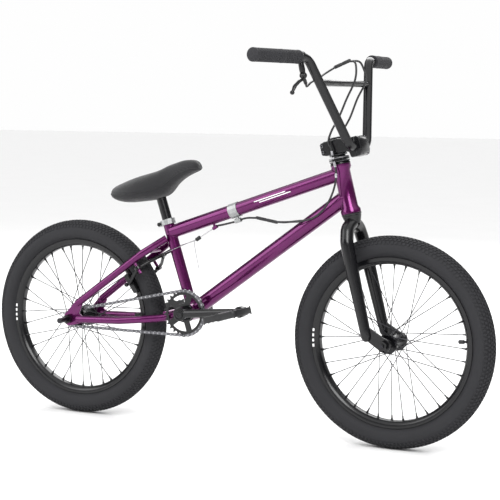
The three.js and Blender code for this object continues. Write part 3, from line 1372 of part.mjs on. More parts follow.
function makePedal(side) {
  const inner = PEDAL_IN;
  const outer = PEDAL_IN + PEDAL_WIDTH;
  const half = PEDAL_LENGTH / 2;
  const thick = PEDAL_THICKNESS / 2;
  const spans = [
    [inner, inner + PEDAL_RAIL, -half + 8, half - 8],
    [outer - PEDAL_RAIL, outer, -half + 8, half - 8],
    [inner + 4, outer - 4, -half, -half + PEDAL_RAIL],
    [inner + 4, outer - 4, half - PEDAL_RAIL, half],
    [(inner + outer - PEDAL_RAIL) / 2, (inner + outer + PEDAL_RAIL) / 2, -half + 4, half - 4],
  ];
  const solids = spans.map(([low, high, rear, front]) => {
    const across = [side * low, side * high].sort((a, b) => a - b);
    return block(at(rear, across[0], -thick), at(front, across[1], thick));
  });
  const barrelRadius = PEDAL_THICKNESS / 2 + 1;
  solids.push(rod(at(0, side * inner, 0), at(0, side * outer, 0), barrelRadius, barrelRadius));
  const hole = PEDAL_AXLE_RADIUS + GAP;
  const bore = rod(at(0, side * (inner - 1), 0), at(0, side * (outer - 5), 0), hole, hole);
  return cut(join(solids), [bore]);
}

for (const [name, side] of Object.entries(SIDES)) {
  const turn = side < 0 ? -rad(CRANK_ANGLE) : Math.PI - rad(CRANK_ANGLE);
  const armGroup = subGroup(crankSpin, at(0, 0, 0), turn);
  place(armGroup, `crank_arm_${name}`, makeCrankArm(side), "blackPaint");
  const eye = at(CRANK_LENGTH, 0, 0).applyAxisAngle(at(0, 1, 0), turn);
  const pedalGroup = subGroup(crankSpin, eye, -rad(PEDAL_TILT));
  place(pedalGroup, `pedal_axle_${name}`, makePedalAxle(side), "steel");
  place(pedalGroup, `pedal_${name}`, makePedal(side), "blackPlastic");
}

// ---------------------------------------------------------------- seat
const seatTubeGroup = subGroup(bicycle, shellCentre, -seatTubeLean);

function makeSeatClamp() {
  const inner = SEAT_TUBE_RADIUS + GAP;
  const outer = inner + SEAT_CLAMP_WALL;
  const from = SEAT_CLAMP_START;
  const to = from + SEAT_CLAMP_HEIGHT;
  const lip = SEAT_TUBE_LENGTH + GAP;
  const postBore = POST_RADIUS + GAP;
  const profile = [
    [inner, from],
    [outer, from],
    [outer, to],
    [postBore, to],
    [postBore, lip],
    [inner, lip],
  ];
  const ears = block(at(-outer - 8, -8, from + 1), at(-inner - 1, 8, to - 1));
  const slot = block(at(-outer - 9, -1, from - 1), at(-POST_RADIUS, 1, to + 1));
  const tubeHole = drill(at(0, 0, from - 1), at(0, 0, lip), inner);
  const postHole = drill(at(0, 0, from - 1), at(0, 0, to + 1), POST_RADIUS + GAP);
  const boltX = -outer - SEAT_BOLT_INSET;
  const middle = (from + to) / 2;
  const boltHole = rod(at(boltX, -9, middle), at(boltX, 9, middle), SEAT_BOLT_RADIUS + GAP);
  return cut(join([column(profile), ears]), [slot, tubeHole, postHole, boltHole]);
}

function makeSeatClampBolt() {
  const x = -SEAT_TUBE_RADIUS - GAP - SEAT_CLAMP_WALL - SEAT_BOLT_INSET;
  const z = SEAT_CLAMP_START + SEAT_CLAMP_HEIGHT / 2;
  const shank = rod(at(x, -10, z), at(x, 10, z), SEAT_BOLT_RADIUS);
  const headEnds = [at(x, -12, z), at(x, -8.3, z)];
  return join([shank, rod(...headEnds, SEAT_BOLT_HEAD_RADIUS, SEAT_BOLT_HEAD_RADIUS, 14)]);
}

function makeSeatPost() {
  const headEnds = [at(0, -POST_HEAD_HALF_WIDTH, SEAT_PIVOT_UP), at(0, POST_HEAD_HALF_WIDTH, SEAT_PIVOT_UP)];
  const head = rod(...headEnds, POST_HEAD_RADIUS, POST_HEAD_RADIUS);
  const postEnds = [at(0, 0, SEAT_TUBE_LENGTH - POST_INSERT), at(0, 0, SEAT_PIVOT_UP)];
  const post = rod(...postEnds, POST_RADIUS, POST_RADIUS);
  return join([post, head]);
}

place(seatTubeGroup, "seat_clamp", makeSeatClamp(), "silverBand");
place(seatTubeGroup, "seat_clamp_bolt", makeSeatClampBolt(), "blackPaint");
place(seatTubeGroup, "seat_post", makeSeatPost(), "blackPaint");

// The seat's cross-sections from tail to nose: ahead of the pivot, top and bottom above it, half width.
const seatSections = [
  [-119, -1, -17, 0.5],
  [-115, 4, -24, 0.7],
  [-106, 9, -30, 0.86],
  [-90, 16, -35, 0.96],
  [-68, 25, -36, 1],
  [-42, 34, -33, 0.96],
  [-14, 42, -29, 0.82],
  [10, 50, -22, 0.64],
  [32, 61, -12, 0.48],
  [54, 69, 12, 0.38],
  [76, 76, 29, 0.34],
  [96, 78, 40, 0.32],
  [112, 75, 47, 0.28],
  [122, 66, 52, 0.18],
];

// The seat is a closed body, hollowed below where the post's head turns in it.
function makeSeat() {
  const around = 16;
  const sections = seatSections.map(([ahead, top, bottom, width]) => {
    const middle = (top + bottom) / 2;
    const half = (top - bottom) / 2;
    const points = [];
    for (let i = 0; i < around; i += 1) {
      const angle = (i / around) * 2 * Math.PI;
      const flat = (value, power) => Math.sign(value) * Math.abs(value) ** power;
      const left = SEAT_HALF_WIDTH * width * flat(Math.cos(angle), 0.7);
      points.push(at(ahead, left, middle + half * flat(Math.sin(angle), 0.75)));
    }
    return points;
  });
  const turn = seatTubeLean;
  const reach = POST_HEAD_HALF_WIDTH + 1.5;
  const head = rod(at(0, -reach, 0), at(0, reach, 0), POST_HEAD_RADIUS + 1.5, POST_HEAD_RADIUS + 1.5);
  const way = block(at(-26, -reach, -70), at(26, reach, 0)).rotateY(-turn);
  return cut(loft(sections), [head, way]);
}

const seatPivot = onSeatTube(SEAT_PIVOT_UP);
place(subGroup(bicycle, seatPivot), "seat", makeSeat(), "seatCover");

export default bicycle;
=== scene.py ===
"""A freestyle bicycle with 20 inch wheels: its pieces, finishes and studio, built round its frame."""

from __future__ import annotations

import json
import logging
import math
from dataclasses import dataclass, field
from enum import Enum
from typing import Callable, Iterable, Sequence

import bpy
from mathutils import Matrix, Vector


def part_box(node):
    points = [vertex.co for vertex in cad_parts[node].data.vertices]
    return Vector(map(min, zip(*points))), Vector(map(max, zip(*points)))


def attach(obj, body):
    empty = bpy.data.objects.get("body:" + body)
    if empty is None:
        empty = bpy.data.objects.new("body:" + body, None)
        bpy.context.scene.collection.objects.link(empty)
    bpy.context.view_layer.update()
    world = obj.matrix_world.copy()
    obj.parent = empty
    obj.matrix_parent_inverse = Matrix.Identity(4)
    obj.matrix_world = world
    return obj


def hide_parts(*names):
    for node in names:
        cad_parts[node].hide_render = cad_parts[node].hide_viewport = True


LOG = logging.getLogger("bicycle")
MM = 0.001
SIDES = {"right": -1, "left": 1}
SHARP_ANGLE = math.radians(38)
KEPT_SHARP_ANGLE = math.radians(34)

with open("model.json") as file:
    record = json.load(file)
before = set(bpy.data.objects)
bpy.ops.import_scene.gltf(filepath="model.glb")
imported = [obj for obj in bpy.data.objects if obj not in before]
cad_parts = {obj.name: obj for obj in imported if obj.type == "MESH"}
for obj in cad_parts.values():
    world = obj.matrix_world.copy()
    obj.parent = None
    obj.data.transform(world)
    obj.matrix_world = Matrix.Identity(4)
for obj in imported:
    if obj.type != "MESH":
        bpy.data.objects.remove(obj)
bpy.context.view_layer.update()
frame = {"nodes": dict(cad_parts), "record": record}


# ------------------------------------------------------------------ shader writing
class Signal:
    """A shader socket that takes part in arithmetic, adding its own Math nodes."""

    def __init__(self, board: "Board", socket: bpy.types.NodeSocket) -> None:
        """Keeps the board and the socket."""
        self.board = board
        self.socket = socket

    def _math(self, operation: str, first: object, second: object) -> "Signal":
        """Adds one Math node.

        Args:
            operation: the Math node's operation.
            first: a Signal or a number.
            second: a Signal or a number.

        Returns:
            The node's value.
        """
        node = self.board.add("ShaderNodeMath", {"operation": operation}, {0: first, 1: second})
        return Signal(self.board, node.outputs[0])

    def __add__(self, other: object) -> "Signal":
        """Sum."""
        return self._math("ADD", self, other)

    __radd__ = __add__

    def __sub__(self, other: object) -> "Signal":
        """Difference."""
        return self._math("SUBTRACT", self, other)

    def __rsub__(self, other: object) -> "Signal":
        """Difference the other way round."""
        return self._math("SUBTRACT", other, self)

    def __mul__(self, other: object) -> "Signal":
        """Product."""
        return self._math("MULTIPLY", self, other)

    __rmul__ = __mul__


class Board:
    """A material's or a world's node tree, with one method that adds any node."""

    def __init__(self, name: str) -> None:
        """Makes an empty material with a Principled shader."""
        self.material = bpy.data.materials.new(name)
        self.material.use_nodes = True
        self.tree = self.material.node_tree
        self.shader = self.tree.nodes["Principled BSDF"]

    def add(self, kind: str, settings: dict[str, object], sockets: dict[object, object]) -> bpy.types.Node:
        """Adds a node.

        Args:
            kind: the node's type.
            settings: its properties, set first.
            sockets: values or Signals for its inputs, by name or number.

        Returns:
            The new node.
        """
        node = self.tree.nodes.new(kind)
        for key, value in settings.items():
            if key == "stops":
                self._stops(node, value)
            else:
                setattr(node, key, value)
        for key, value in sockets.items():
            self.plug(node.inputs[key], value)
        return node

    @staticmethod
    def _stops(node: bpy.types.Node, stops: Sequence[tuple[float, tuple[float, ...]]]) -> None:
        """Sets a colour ramp's stops."""
        ramp = node.color_ramp.elements
        for index, (place, colour) in enumerate(stops):
            stop = ramp[index] if index < 2 else ramp.new(place)
            stop.position = place
            stop.color = (*colour, 1.0)

    def plug(self, socket: bpy.types.NodeSocket, value: object) -> None:
        """Links a Signal to a socket, or sets a plain value."""
        if isinstance(value, Signal):
            self.tree.links.new(value.socket, socket)
        else:
            socket.default_value = value

    def place(self) -> Signal:
        """The point on the object, in metres."""
        return Signal(self, self.add("ShaderNodeTexCoord", {}, {}).outputs["Object"])

    def noise(
        self, scale: float, detail: float = 3.0, stretch: tuple[float, float, float] | None = None
    ) -> Signal:
        """Smooth noise from 0 to 1.

        Args:
            scale: how many waves fit in a metre.
            detail: how many finer layers it has.
            stretch: a scale for each axis.

        Returns:
            The noise's value.
        """
        where = self.place()
        if stretch is not None:
            mapping = self.add("ShaderNodeMapping", {}, {"Vector": where, "Scale": stretch})
            where = Signal(self, mapping.outputs[0])
        node = self.add("ShaderNodeTexNoise", {}, {"Vector": where, "Scale": scale, "Detail": detail})
        return Signal(self, node.outputs["Fac"])

    def blend(self, share: object, low: Sequence[float], high: object) -> Signal:
        """A colour between two, by a share from 0 to 1."""
        sockets = {0: share, 6: (*low, 1.0) if not isinstance(low, Signal) else low}
        sockets[7] = high if isinstance(high, Signal) else (*high, 1.0)
        node = self.add("ShaderNodeMix", {"data_type": "RGBA", "clamp_factor": True}, sockets)
        return Signal(self, node.outputs[2])

    def relief(self, height: Signal, distance: float, strength: float = 1.0) -> None:
        """Gives the shader a bump from a height signal, so many metres deep."""
        node = self.add("ShaderNodeBump", {}, {"Height": height, "Distance": distance, "Strength": strength})
        self.plug(self.shader.inputs["Normal"], Signal(self, node.outputs[0]))

    def finish(self, **sockets: object) -> bpy.types.Material:
        """Sets the shader's sockets, whose names are written with underscores."""
        for key, value in sockets.items():
            self.plug(self.shader.inputs[key.replace("_", " ")], value)
        return self.material


class SkyBoard(Board):
    """A world's node tree."""

    def __init__(self, name: str) -> None:
        """Makes a world with a Background shader."""
        self.world = bpy.data.worlds.new(name)
        self.world.use_nodes = True
        self.tree = self.world.node_tree
        self.shader = self.tree.nodes["Background"]


# ------------------------------------------------------------------ finishes
@dataclass(frozen=True)
class GlossPaint:
    """Gloss paint over a tinted base, with faint orange peel and a clear coat."""

    name: str
    deep: tuple[float, float, float]
    light: tuple[float, float, float]
    metal: float = 0.0
    roughness: float = 0.24
    coat: float = 0.8

    def make(self) -> bpy.types.Material:
        """Builds the material."""
        board = Board(self.name)
        cloud = board.noise(9.0, 4.0)
        flake = board.noise(1500.0, 1.0)
        colour = board.blend(cloud * 0.7 + flake * 0.3, self.deep, self.light)
        scuff = board.noise(60.0, 6.0)
        board.relief(board.noise(420.0, 2.0), 0.00002, 0.5)
        return board.finish(
            Base_Color=colour,
            Metallic=self.metal,
            Roughness=scuff * 0.12 + self.roughness - 0.04,
            Coat_Weight=self.coat,
            Coat_Roughness=0.06,
            Specular_IOR_Level=0.4,
        )


@dataclass(frozen=True)
class Rubber:
    """Dull rubber with a fine grain and dusty patches."""

    name: str
    dark: tuple[float, float, float]
    dusty: tuple[float, float, float]
    grain: float = 900.0

    def make(self) -> bpy.types.Material:
        """Builds the material."""
        board = Board(self.name)
        dust = board.noise(14.0, 6.0)
        fine = board.noise(self.grain, 3.0)
        board.relief(fine, 0.00012, 0.6)
        colour = board.blend(dust * 0.8 + fine * 0.2, self.dark, self.dusty)
        return board.finish(Base_Color=colour, Roughness=dust * 0.16 + 0.66, Specular_IOR_Level=0.35)


@dataclass(frozen=True)
class TurnedMetal:
    """Bare metal with drawn or turned marks and a little tarnish."""

    name: str
    bright: tuple[float, float, float]
    tarnish: tuple[float, float, float]
    roughness: float = 0.3

    def make(self) -> bpy.types.Material:
        """Builds the material."""
        board = Board(self.name)
        marks = board.noise(220.0, 4.0, (1.0, 14.0, 1.0))
        patch = board.noise(35.0, 5.0)
        board.relief(marks, 0.00003, 0.5)
        colour = board.blend(patch, self.bright, self.tarnish)
        return board.finish(
            Base_Color=colour, Metallic=1.0, Roughness=marks * 0.2 + patch * 0.1 + self.roughness - 0.1
        )


@dataclass(frozen=True)
class MouldedPlastic:
    """Black moulded plastic with a fine spark-eroded grain."""

    name: str
    colour: tuple[float, float, float]
    roughness: float = 0.42

    def make(self) -> bpy.types.Material:
        """Builds the material."""
        board = Board(self.name)
        grain = board.noise(1600.0, 2.0)
        patch = board.noise(24.0, 4.0)
        board.relief(grain, 0.00005, 0.5)
        lighter = tuple(min(1.0, part * 1.7 + 0.004) for part in self.colour)
        colour = board.blend(patch, self.colour, lighter)
        return board.finish(Base_Color=colour, Roughness=grain * 0.12 + patch * 0.08 + self.roughness - 0.1)


@dataclass(frozen=True)
class WovenCover:
    """A seat cover's tight plain weave."""

    name: str
    dark: tuple[float, float, float]
    light: tuple[float, float, float]
    threads: float = 900.0

    def make(self) -> bpy.types.Material:
        """Builds the material."""
        board = Board(self.name)
        along = board.add(
            "ShaderNodeTexWave",
            {"wave_type": "BANDS", "bands_direction": "X"},
            {"Vector": board.place(), "Scale": self.threads / 2, "Distortion": 0.6},
        )
        across = board.add(
            "ShaderNodeTexWave",
            {"wave_type": "BANDS", "bands_direction": "Y"},
            {"Vector": board.place(), "Scale": self.threads / 2, "Distortion": 0.6},
        )
        weave = Signal(board, along.outputs["Fac"]) * Signal(board, across.outputs["Fac"])
        wear = board.noise(18.0, 5.0)
        board.relief(weave, 0.0003, 0.7)
        colour = board.blend(weave * 0.6 + wear * 0.4, self.dark, self.light)
        return board.finish(
            Base_Color=colour, Roughness=wear * 0.1 + 0.8, Sheen_Weight=0.25, Sheen_Roughness=0.5
        )


@dataclass(frozen=True)
class StudioFloor:
    """A plain pale floor."""

    name: str = "studio_floor"

    def make(self) -> bpy.types.Material:
        """Builds the material."""
        board = Board(self.name)
        tone = board.blend(board.noise(3.0, 2.0), (0.9, 0.9, 0.9), (0.93, 0.93, 0.93))
        return board.finish(Base_Color=tone, Roughness=0.75, Specular_IOR_Level=0.2)


class Finish(Enum):
    """The finishes of the bicycle, each with the record's slot that it stands for."""

    PURPLE = (
        "frame_paint",
        GlossPaint("purple_lacquer", (0.060, 0.002, 0.046), (0.150, 0.006, 0.115), 0.7, 0.17, 0.4),
    )
    BLACK = (
        "black_paint", GlossPaint("black_gloss", (0.002, 0.002, 0.003), (0.006, 0.006, 0.007), 0.0, 0.2, 0.0)
    )
    PLASTIC = ("black_plastic", MouldedPlastic("black_plastic", (0.006, 0.006, 0.007)))
    GRIP = ("grip_rubber", Rubber("grip_rubber", (0.014, 0.014, 0.016), (0.030, 0.030, 0.034), 700.0))
    TYRE = ("tyre_rubber", Rubber("tyre_rubber", (0.010, 0.010, 0.012), (0.024, 0.024, 0.027)))
    STEEL = ("steel", TurnedMetal("satin_steel", (0.56, 0.56, 0.58), (0.36, 0.36, 0.38)))
    DARK_STEEL = ("dark_steel", TurnedMetal("dark_steel", (0.20, 0.20, 0.21), (0.10, 0.10, 0.11), 0.34))
    SPOKE = ("dark_steel", TurnedMetal("spoke_steel", (0.055, 0.055, 0.06), (0.03, 0.03, 0.034), 0.3))
    GREY = ("grey_metal", TurnedMetal("grey_band", (0.46, 0.47, 0.47), (0.34, 0.35, 0.35), 0.42))
    COVER = ("seat_fabric", WovenCover("seat_cover", (0.004, 0.004, 0.005), (0.016, 0.016, 0.019)))
    WHITE = ("black_paint", MouldedPlastic("white_print", (0.62, 0.62, 0.62), 0.4))


class Wardrobe:
    """Makes each finish's material once."""

    def __init__(self) -> None:
        """Starts with nothing made."""
        self.made: dict[Finish, bpy.types.Material] = {}

    def material(self, finish: Finish) -> bpy.types.Material:
        """The material of a finish."""
        if finish not in self.made:
            self.made[finish] = finish.value[1].make()
        return self.made[finish]

    def dress(self, piece: bpy.types.Object, finish: Finish) -> None:
        """Puts a finish on a piece or a carried-over node."""
        slots = piece.data.materials
        slots.clear()
        slots.append(self.material(finish))


WARDROBE = Wardrobe()


# ------------------------------------------------------------------ mesh writing
def mesh_piece(
    name: str, points: Iterable[Sequence[float]], faces: Iterable[Sequence[int]]
) -> bpy.types.Object:
    """Makes a smooth-shaded mesh object.

    Args:
        name: the piece's name.
        points: its vertices.
        faces: its faces, as vertex numbers.

    Returns:
        The new object.
    """
    mesh = bpy.data.meshes.new(name)
    mesh.from_pydata([tuple(p) for p in points], [], [tuple(f) for f in faces])
    mesh.validate()
    mesh.shade_smooth()
    mesh.set_sharp_from_angle(angle=SHARP_ANGLE)
    piece = bpy.data.objects.new(name, mesh)
    bpy.context.scene.collection.objects.link(piece)
    return piece


class Shell:
    """Gathers vertices and faces, so that one piece can hold several solids."""

    def __init__(self) -> None:
        """Starts empty."""
        self.points: list[Vector] = []
        self.faces: list[tuple[int, ...]] = []

    def rings(self, rings: Sequence[Sequence[Vector]], closed: bool = False) -> None:
        """Adds a skin over equal rings, capped unless it closes on itself."""
        start = len(self.points)
        count = len(rings[0])
        for ring in rings:
            self.points.extend(ring)
        total = len(rings)
        for i in range(total if closed else total - 1):
            low = start + i * count
            high = start + ((i + 1) % total) * count
            for k in range(count):
                n = (k + 1) % count
                self.faces.append((low + k, low + n, high + n, high + k))
        if not closed:
            self.faces.append(tuple(start + k for k in reversed(range(count))))
            self.faces.append(tuple(start + (total - 1) * count + k for k in range(count)))

    def sweep(self, points: Sequence[Vector], radius: float | Sequence[float], sides: int = 24) -> None:
        """Adds a round tube along points, with one radius or one for each point."""
        radii = [radius] * len(points) if isinstance(radius, (int, float)) else list(radius)
        tangents = []
        for i in range(len(points)):
            ahead = points[min(i + 1, len(points) - 1)] - points[max(i - 1, 0)]
            tangents.append(ahead.normalized())
        normal = tangents[0].orthogonal().normalized()
        rings = []
        for point, tangent, size in zip(points, tangents, radii):
            normal = (normal - tangent * normal.dot(tangent)).normalized()
            side = tangent.cross(normal)
            angles = [2 * math.pi * k / sides for k in range(sides)]
            rings.append([point + (normal * math.cos(a) + side * math.sin(a)) * size for a in angles])
        self.rings(rings)

    def turn(self, profile: Sequence[tuple[float, float]], where: Matrix, segments: int = 48) -> None:
        """Adds a turned solid: a closed section of (radius, along) pairs, about the Z of where."""
        loop = [(max(radius, 0.00001), along) for radius, along in profile]
        area = sum(a[0] * b[1] - b[0] * a[1] for a, b in zip(loop, loop[1:] + loop[:1]))
        if area > 0:
            loop.reverse()
        rings = []
        for k in range(segments):
            angle = 2 * math.pi * k / segments
            rings.append([where @ Vector((r * math.cos(angle), r * math.sin(angle), h)) for r, h in loop])
        self.rings(rings, closed=True)

    def block(self, corners: Sequence[Vector]) -> None:
        """Adds a six-sided block from its eight corners, the lower four first."""
        start = len(self.points)
        self.points.extend(corners)
        for face in ((3, 2, 1, 0), (4, 5, 6, 7), (0, 1, 5, 4), (1, 2, 6, 5), (2, 3, 7, 6), (3, 0, 4, 7)):
            self.faces.append(tuple(start + k for k in face))

    def piece(self, name: str) -> bpy.types.Object:
        """The gathered solids as one object."""
        return mesh_piece(name, self.points, self.faces)


def flat_plate(
    name: str, outlines: Sequence[Sequence[tuple[float, float]]], thick: float, bevel: float
) -> bpy.types.Object:
    """Makes a plate with bevelled edges from an outline and the outlines of its holes.

    Args:
        name: the piece's name.
        outlines: closed outlines in the plate's plane.
        thick: its whole thickness, along Z.
        bevel: how far its edges are rounded.

    Returns:
        The plate, lying in the XY plane.
    """
    curve = bpy.data.curves.new(name + "_outline", "CURVE")
    curve.dimensions = "2D"
    curve.fill_mode = "BOTH"
    curve.extrude = thick / 2 - bevel
    curve.bevel_depth = bevel
    curve.bevel_resolution = 1
    curve.offset = -bevel
    for outline in outlines:
        spline = curve.splines.new("POLY")
        spline.points.add(len(outline) - 1)
        for point, (x, y) in zip(spline.points, outline):
            point.co = (x, y, 0.0, 1.0)
        spline.use_cyclic_u = True
    holder = bpy.data.objects.new(name + "_outline", curve)
    bpy.context.scene.collection.objects.link(holder)
    bpy.context.view_layer.update()
    mesh = bpy.data.meshes.new_from_object(holder.evaluated_get(bpy.context.evaluated_depsgraph_get()))
    bpy.data.objects.remove(holder)
    mesh.name = name
    mesh.shade_smooth()
    mesh.set_sharp_from_angle(angle=SHARP_ANGLE)
    piece = bpy.data.objects.new(name, mesh)
    bpy.context.scene.collection.objects.link(piece)
    return piece


def in_mm(pairs: Iterable[tuple[float, float]]) -> list[tuple[float, float]]:
    """Pairs given in millimetres, in metres."""
    return [(first * MM, second * MM) for first, second in pairs]


def arc(
    radius: float, degrees: Iterable[float], centre: tuple[float, float] = (0.0, 0.0)
) -> list[tuple[float, float]]:
    """Points round a circle, at the angles given."""
    turns = [math.radians(angle) for angle in degrees]
    return [(centre[0] + radius * math.cos(turn), centre[1] + radius * math.sin(turn)) for turn in turns]


def circle(radius: float, count: int) -> list[tuple[float, float]]:
    """Evenly spaced points round a whole circle about the origin."""
    turns = [2 * k / count * math.pi for k in range(count)]
    return [(radius * math.cos(turn), radius * math.sin(turn)) for turn in turns]


def axis_place(centre: Vector, axis: Vector, up: Vector | None = None) -> Matrix:
    """A matrix at centre whose Z is axis, and whose X is as near to up as it can be."""
    along = axis.normalized()
    first = up if up is not None else along.orthogonal()
    first = (first - along * first.dot(along)).normalized()
    second = along.cross(first)
    rows = Matrix((first, second, along)).transposed().to_4x4()
    rows.translation = centre
    return rows


def rounded(corners: Sequence[Vector], bend: float, steps: int = 8) -> list[Vector]:
    """Rounds the inner corners of a path to a bend radius."""
    points = [corners[0]]
    for before, corner, after in zip(corners, corners[1:], corners[2:]):
        back = before - corner
        ahead = after - corner
        turn = math.pi - back.angle(ahead)
        reach = min(bend * math.tan(turn / 2), 0.49 * min(back.length, ahead.length))
        start = corner + back.normalized() * reach
        end = corner + ahead.normalized() * reach
        for i in range(steps + 1):
            t = i / steps
            points.append(start * (1 - t) ** 2 + corner * (2 * t * (1 - t)) + end * t**2)
    points.append(corners[-1])
    return points


def smooth_route(points: Sequence[Vector], steps: int = 6) -> list[Vector]:
    """A centripetal curve through points."""
    ends = [points[0] * 2 - points[1], *points, points[-1] * 2 - points[-2]]
    route: list[Vector] = []
    for p0, p1, p2, p3 in zip(ends, ends[1:], ends[2:], ends[3:]):
        t1 = (p1 - p0).length ** 0.5
        t2 = t1 + (p2 - p1).length ** 0.5
        t3 = t2 + (p3 - p2).length ** 0.5
        for i in range(steps):
            t = t1 + (t2 - t1) * i / steps
            a1 = p0 * ((t1 - t) / t1) + p1 * (t / t1)
            a2 = p1 * ((t2 - t) / (t2 - t1)) + p2 * ((t - t1) / (t2 - t1))
            a3 = p2 * ((t3 - t) / (t3 - t2)) + p3 * ((t - t2) / (t3 - t2))
            b1 = a1 * ((t2 - t) / t2) + a2 * (t / t2)
            b2 = a2 * ((t3 - t) / (t3 - t1)) + a3 * ((t - t1) / (t3 - t1))
            route.append(b1 * ((t2 - t) / (t2 - t1)) + b2 * ((t - t1) / (t2 - t1)))
    route.append(points[-1])
    return route


def soften(piece: bpy.types.Object, bevel: float, angle: float) -> None:
    """Rounds the edges that are sharper than an angle, if the bevel has any width."""
    if bevel > 0:
        edge = piece.modifiers.new("edge", "BEVEL")
        edge.width = bevel
        edge.segments = 2
        edge.limit_method = "ANGLE"
        edge.angle_limit = angle


def add_piece(
    piece: bpy.types.Object, body: str, finish: Finish, nodes: Sequence[str] = (), bevel: float = 0.0
) -> None:
    """Dresses a piece, rides it on its body and hides the nodes it stands for.

    Args:
        piece: the new piece, in place.
        body: the body it moves with.
        finish: its finish.
        nodes: the nodes that it replaces.
        bevel: how far its edges are rounded, if at all.
    """
    WARDROBE.dress(piece, finish)
    soften(piece, bevel, SHARP_ANGLE)
    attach(piece, body)
    if nodes:
        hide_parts(*nodes)
    LOG.info("%s rides on %s", piece.name, body)


def keep_node(node: str, finish: Finish, bevel: float = 0.6 * MM) -> None:
    """Dresses a carried-over node and rounds its edges."""
    piece = frame["nodes"][node]
    WARDROBE.dress(piece, finish)
    soften(piece, bevel, KEPT_SHARP_ANGLE)
    LOG.info("%s keeps its shape", node)


# ------------------------------------------------------------------ places
def node_centre(node: str) -> Vector:
    """The middle of a node's box."""
    low, high = (Vector(corner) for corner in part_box(node))
    return (low + high) / 2


def joint_of(name: str) -> dict:
    """A joint's entry in the record."""
    return next(j for j in frame["record"]["behaviour"]["joints"] if j["name"] == name)


@dataclass
class Places:
    """The bicycle's main points and directions, from its frame."""

    fork_offset: float = 32 * MM
    top_of_head_tube: float = 442 * MM
    seat_tube_angle: float = math.radians(71.5)
    seatstay_angle: float = math.radians(36.5)
    top_tube_up_seat_tube: float = 209 * MM
    top_tube_down_head_tube: float = 21.5 * MM
    brake_post_along: float = 247.5
    brake_post_left: float = 46.0
    rear: Vector = field(default_factory=lambda: node_centre("rear_axle"))
    front: Vector = field(default_factory=lambda: node_centre("front_axle"))
    shell: Vector = field(default_factory=lambda: node_centre("crank_spindle"))
    along: Vector = field(default_factory=lambda: Vector(joint_of("steering")["axis"]).normalized())

    def __post_init__(self) -> None:
        """Works out the directions that follow from the others."""
        self.ahead = Vector((self.along.z, 0.0, -self.along.x))
        self.foot = self.front - self.ahead * self.fork_offset
        self.up_seat = Vector((-math.cos(self.seat_tube_angle), 0.0, math.sin(self.seat_tube_angle)))
        self.top_start = self.on_seat_tube(self.top_tube_up_seat_tube)
        self.top_end = self.steer(0, 0, self.top_of_head_tube - self.top_tube_down_head_tube)
        self.top_along = (self.top_end - self.top_start).normalized()
        self.top_up = Vector((-self.top_along.z, 0.0, self.top_along.x))

    def steer(self, ahead: float, left: float, up: float) -> Vector:
        """A point in the steering's own axes."""
        return self.foot + self.ahead * ahead + self.along * up + Vector((0.0, left, 0.0))

    def steer_mm(self, ahead: float, left: float, up: float) -> Vector:
        """A point in the steering's own axes, given in millimetres."""
        return self.steer(ahead * MM, left * MM, up * MM)

    def steering_place(self) -> Matrix:
        """The steering's own axes as a matrix, with its Z up the axis."""
        return axis_place(self.foot, self.along, self.ahead)

    def on_seat_tube(self, up: float) -> Vector:
        """A point up the seat tube."""
        return self.shell + self.up_seat * up

    def on_stay(self, along: float, left: float, above: float) -> Vector:
        """A point by the seatstay's line, given in millimetres."""
        cos, sin = math.cos(self.seatstay_angle), math.sin(self.seatstay_angle)
        step = Vector((along * cos - above * sin, left, along * sin + above * cos))
        return self.rear + step * MM

    def on_top(self, along: float, left: float, above: float) -> Vector:
        """A point by the top tube, given in millimetres."""
        offset = self.top_along * along + self.top_up * above + Vector((0.0, left, 0.0))
        return self.top_start + offset * MM


PLACES = Places()
Y_AXIS = Vector((0.0, 1.0, 0.0))


